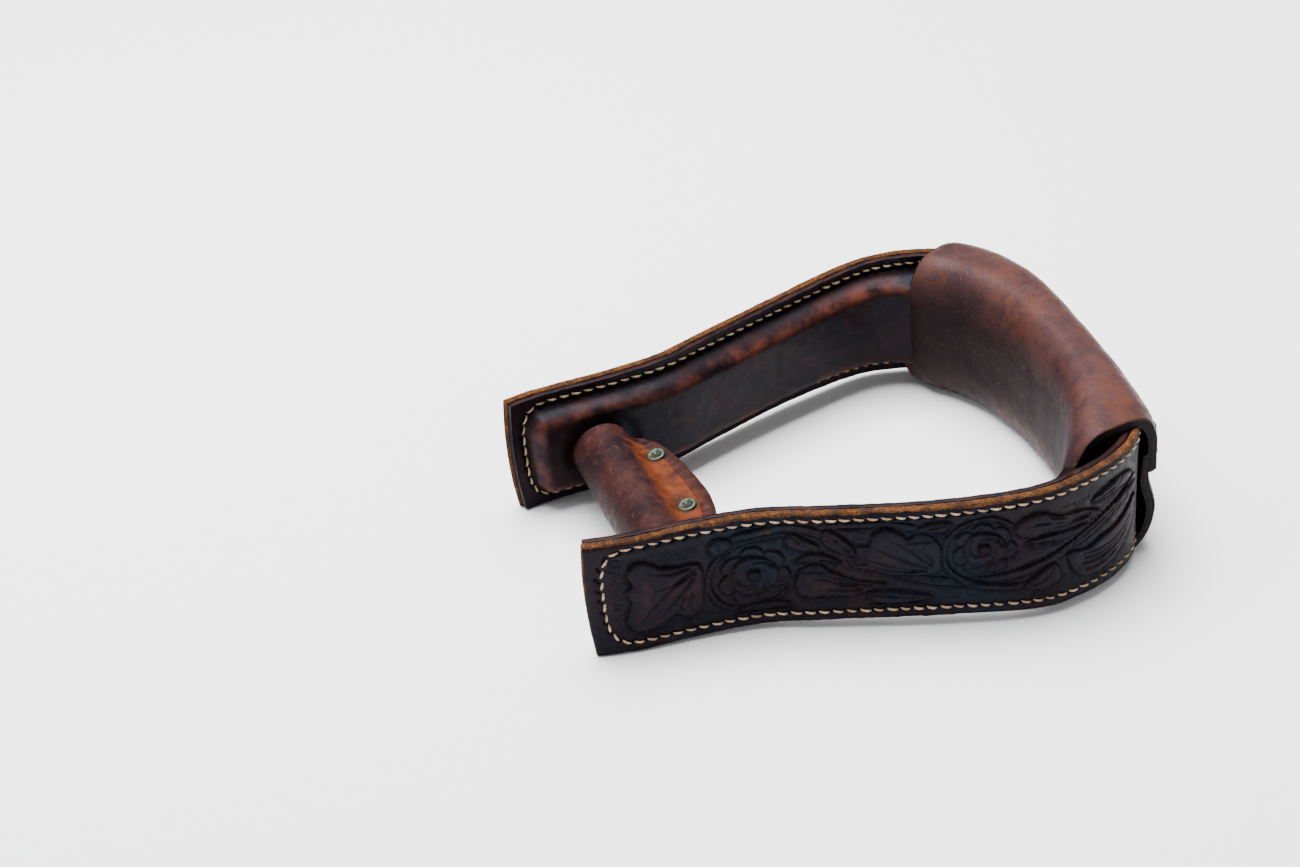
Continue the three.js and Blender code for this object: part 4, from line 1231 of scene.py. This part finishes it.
def plain_seam_thread():
    m = Nodes("thread_dusty", "thread")
    base = m.mix(m.band(m.red, 0.0, 1.0), (0.20, 0.135, 0.07), (0.33, 0.25, 0.14))
    # painted shade at the stitch ends
    base = m.tint(base, m.green, 0.5, (0.08, 0.05, 0.03))
    return m.finish(base, 0.75, m.bump(m.noise(0.35, 3, 0.6), 0.15, 0.5))


def patinated_rivet():
    m = Nodes("rivet_metal")
    base = m.mix(m.cloud(0.4, 0.65, 1.2, 4, 0.7), (0.020, 0.026, 0.021), (0.022, 0.062, 0.045))
    base = m.mix(m.cloud(0.6, 0.75, 0.7, 3, 0.6), base, (0.075, 0.052, 0.026))
    base = m.tint(base, m.red, 0.45, (0.10, 0.13, 0.085))
    # painted shade in the splits and hole
    base = m.mix(m.green, base, (0.012, 0.010, 0.008))
    normal = m.bump(m.noise(0.6, 4, 0.7), 0.12, 0.6)
    return m.finish(base, m.uneven(0.9, 0.38, 0.62, 3), normal, Metallic=0.75)


def ash_wood():
    m = Nodes("wood")
    grain = m.noise(3.0, 6, 0.6, (0.12, 0.12, 1.0))
    base = m.mix(m.band(grain, 0.35, 0.65), (0.42, 0.27, 0.14), (0.24, 0.13, 0.06))
    return m.finish(base, m.band(grain, 0.3, 0.7, 0.5, 0.65), m.bump(grain, 0.3, 0.5))


def grimy_steel():
    m = Nodes("steel")
    base = m.mix(m.cloud(0.5, 0.72, 2.5, 5, 0.7), (0.060, 0.052, 0.046), (0.030, 0.017, 0.011))
    return m.finish(base, m.uneven(3, 0.48, 0.70), m.bump(m.noise(0.8, 3), 0.08, 0.5), Metallic=1.0)


def dress_hidden_nodes():
    """The wood, bolt, nut, washers and spool keep their CAD shape and get their own finish."""
    wood, steel = ash_wood()[0], grimy_steel()[0]
    for name, node in frame["nodes"].items():
        if name == "bent_wood_frame" or "bolt" in name or name == "bar_spool":
            node.data.materials.clear()
            node.data.materials.append(wood if name == "bent_wood_frame" else steel)


# ---- stage ----
CAMERA_PLACE = (-0.34616, -0.8678, 0.67546)
CAMERA_YAW = 0.310275
CAMERA_PITCH = 0.597117
CAMERA_ROLL = 0.040092
LENS_MM = 83.27
SENSOR_MM = 36
FLOOR_HALF = 6.0


def stage():
    mesh = bpy.data.meshes.new("floor")
    corners = [(FLOOR_HALF * x, FLOOR_HALF * y, 0) for x, y in ((-1, -1), (1, -1), (1, 1), (-1, 1))]
    mesh.from_pydata(corners, [], [(0, 1, 2, 3)])
    paper = bpy.data.materials.new("white_paper")
    paper.use_nodes = True
    shader = paper.node_tree.nodes["Principled BSDF"]
    shader.inputs["Base Color"].default_value = (0.96, 0.965, 0.97, 1)
    shader.inputs["Roughness"].default_value = 0.85
    shader.inputs["Specular IOR Level"].default_value = 0.15
    mesh.materials.append(paper)
    floor = bpy.data.objects.new("floor", mesh)
    bpy.context.scene.collection.objects.link(floor)


def camera():
    data = bpy.data.cameras.new("camera")
    data.lens = LENS_MM
    data.sensor_width = SENSOR_MM
    data.sensor_fit = "HORIZONTAL"
    cp, sp = math.cos(CAMERA_PITCH), math.sin(CAMERA_PITCH)
    c, s = math.cos(CAMERA_ROLL), math.sin(CAMERA_ROLL)
    ahead = Vector((0, cp, -sp))
    right = Vector((1, 0, 0)) * c + Vector((0, -sp, -cp)) * s
    down = Vector((0, -sp, -cp)) * c - Vector((1, 0, 0)) * s
    turned = Matrix.Rotation(-CAMERA_YAW, 3, "Z")
    view = Matrix((turned @ right, turned @ -down, turned @ -ahead)).transposed().to_4x4()
    eye = bpy.data.objects.new("camera", data)
    eye.matrix_world = Matrix.Translation(CAMERA_PLACE) @ view
    bpy.context.scene.collection.objects.link(eye)
    bpy.context.scene.camera = eye


def softbox(name, place_at, aim, size, watts, tint=(1, 1, 1)):
    light = bpy.data.lights.new(name, "AREA")
    light.shape = "RECTANGLE"
    light.size, light.size_y = size
    light.energy = watts
    light.color = tint
    lamp = bpy.data.objects.new(name, light)
    lamp.location = place_at
    lamp.rotation_euler = (Vector(aim) - Vector(place_at)).to_track_quat("-Z", "Y").to_euler()
    bpy.context.scene.collection.objects.link(lamp)


def lights():
    world = bpy.data.worlds.new("studio")
    world.use_nodes = True
    world.node_tree.nodes["Background"].inputs["Color"].default_value = (0.95, 0.97, 1.0, 1)
    world.node_tree.nodes["Background"].inputs["Strength"].default_value = 0.4
    bpy.context.scene.world = world
    softbox("overhead", (-0.15, 0.35, 1.5), (0, 0, 0), (1.5, 1.2), 108)
    softbox("left_window", (-1.5, 0.2, 0.9), (0, 0, 0), (0.9, 0.8), 10, (0.9, 0.95, 1.0))
    softbox("front_fill", (0.4, -1.6, 0.9), (0, 0, 0), (1.0, 0.6), 3)


def assemble():
    metal = patinated_rivet()
    tooled, plain = tooled_leather(), plain_leather()
    inside, bright, dusty = lining_leather(), waxed_thread(), plain_seam_thread()
    for side, face, thread, pattern in ((-1, tooled, bright, tooled_pattern), (1, plain, dusty, None)):
        word = SIDE_WORD[side]
        stitches = strap(word + "_outer", side, face, pattern)
        lining(side, stitches, inside)
        sew(word + "_side_seam_top_thread", side, stitches, 0.0, -1, thread)
        sew(word + "_side_seam_bobbin_thread", side, stitches, LINING_BACK + LINING_LEATHER, 1, thread)
        rivet(side, metal)
    tread_cover(cover_leather())
    lace(lace_leather())
    sleeve(sleeve_leather())
    dress_hidden_nodes()


assemble()
stage()
camera()
lights()
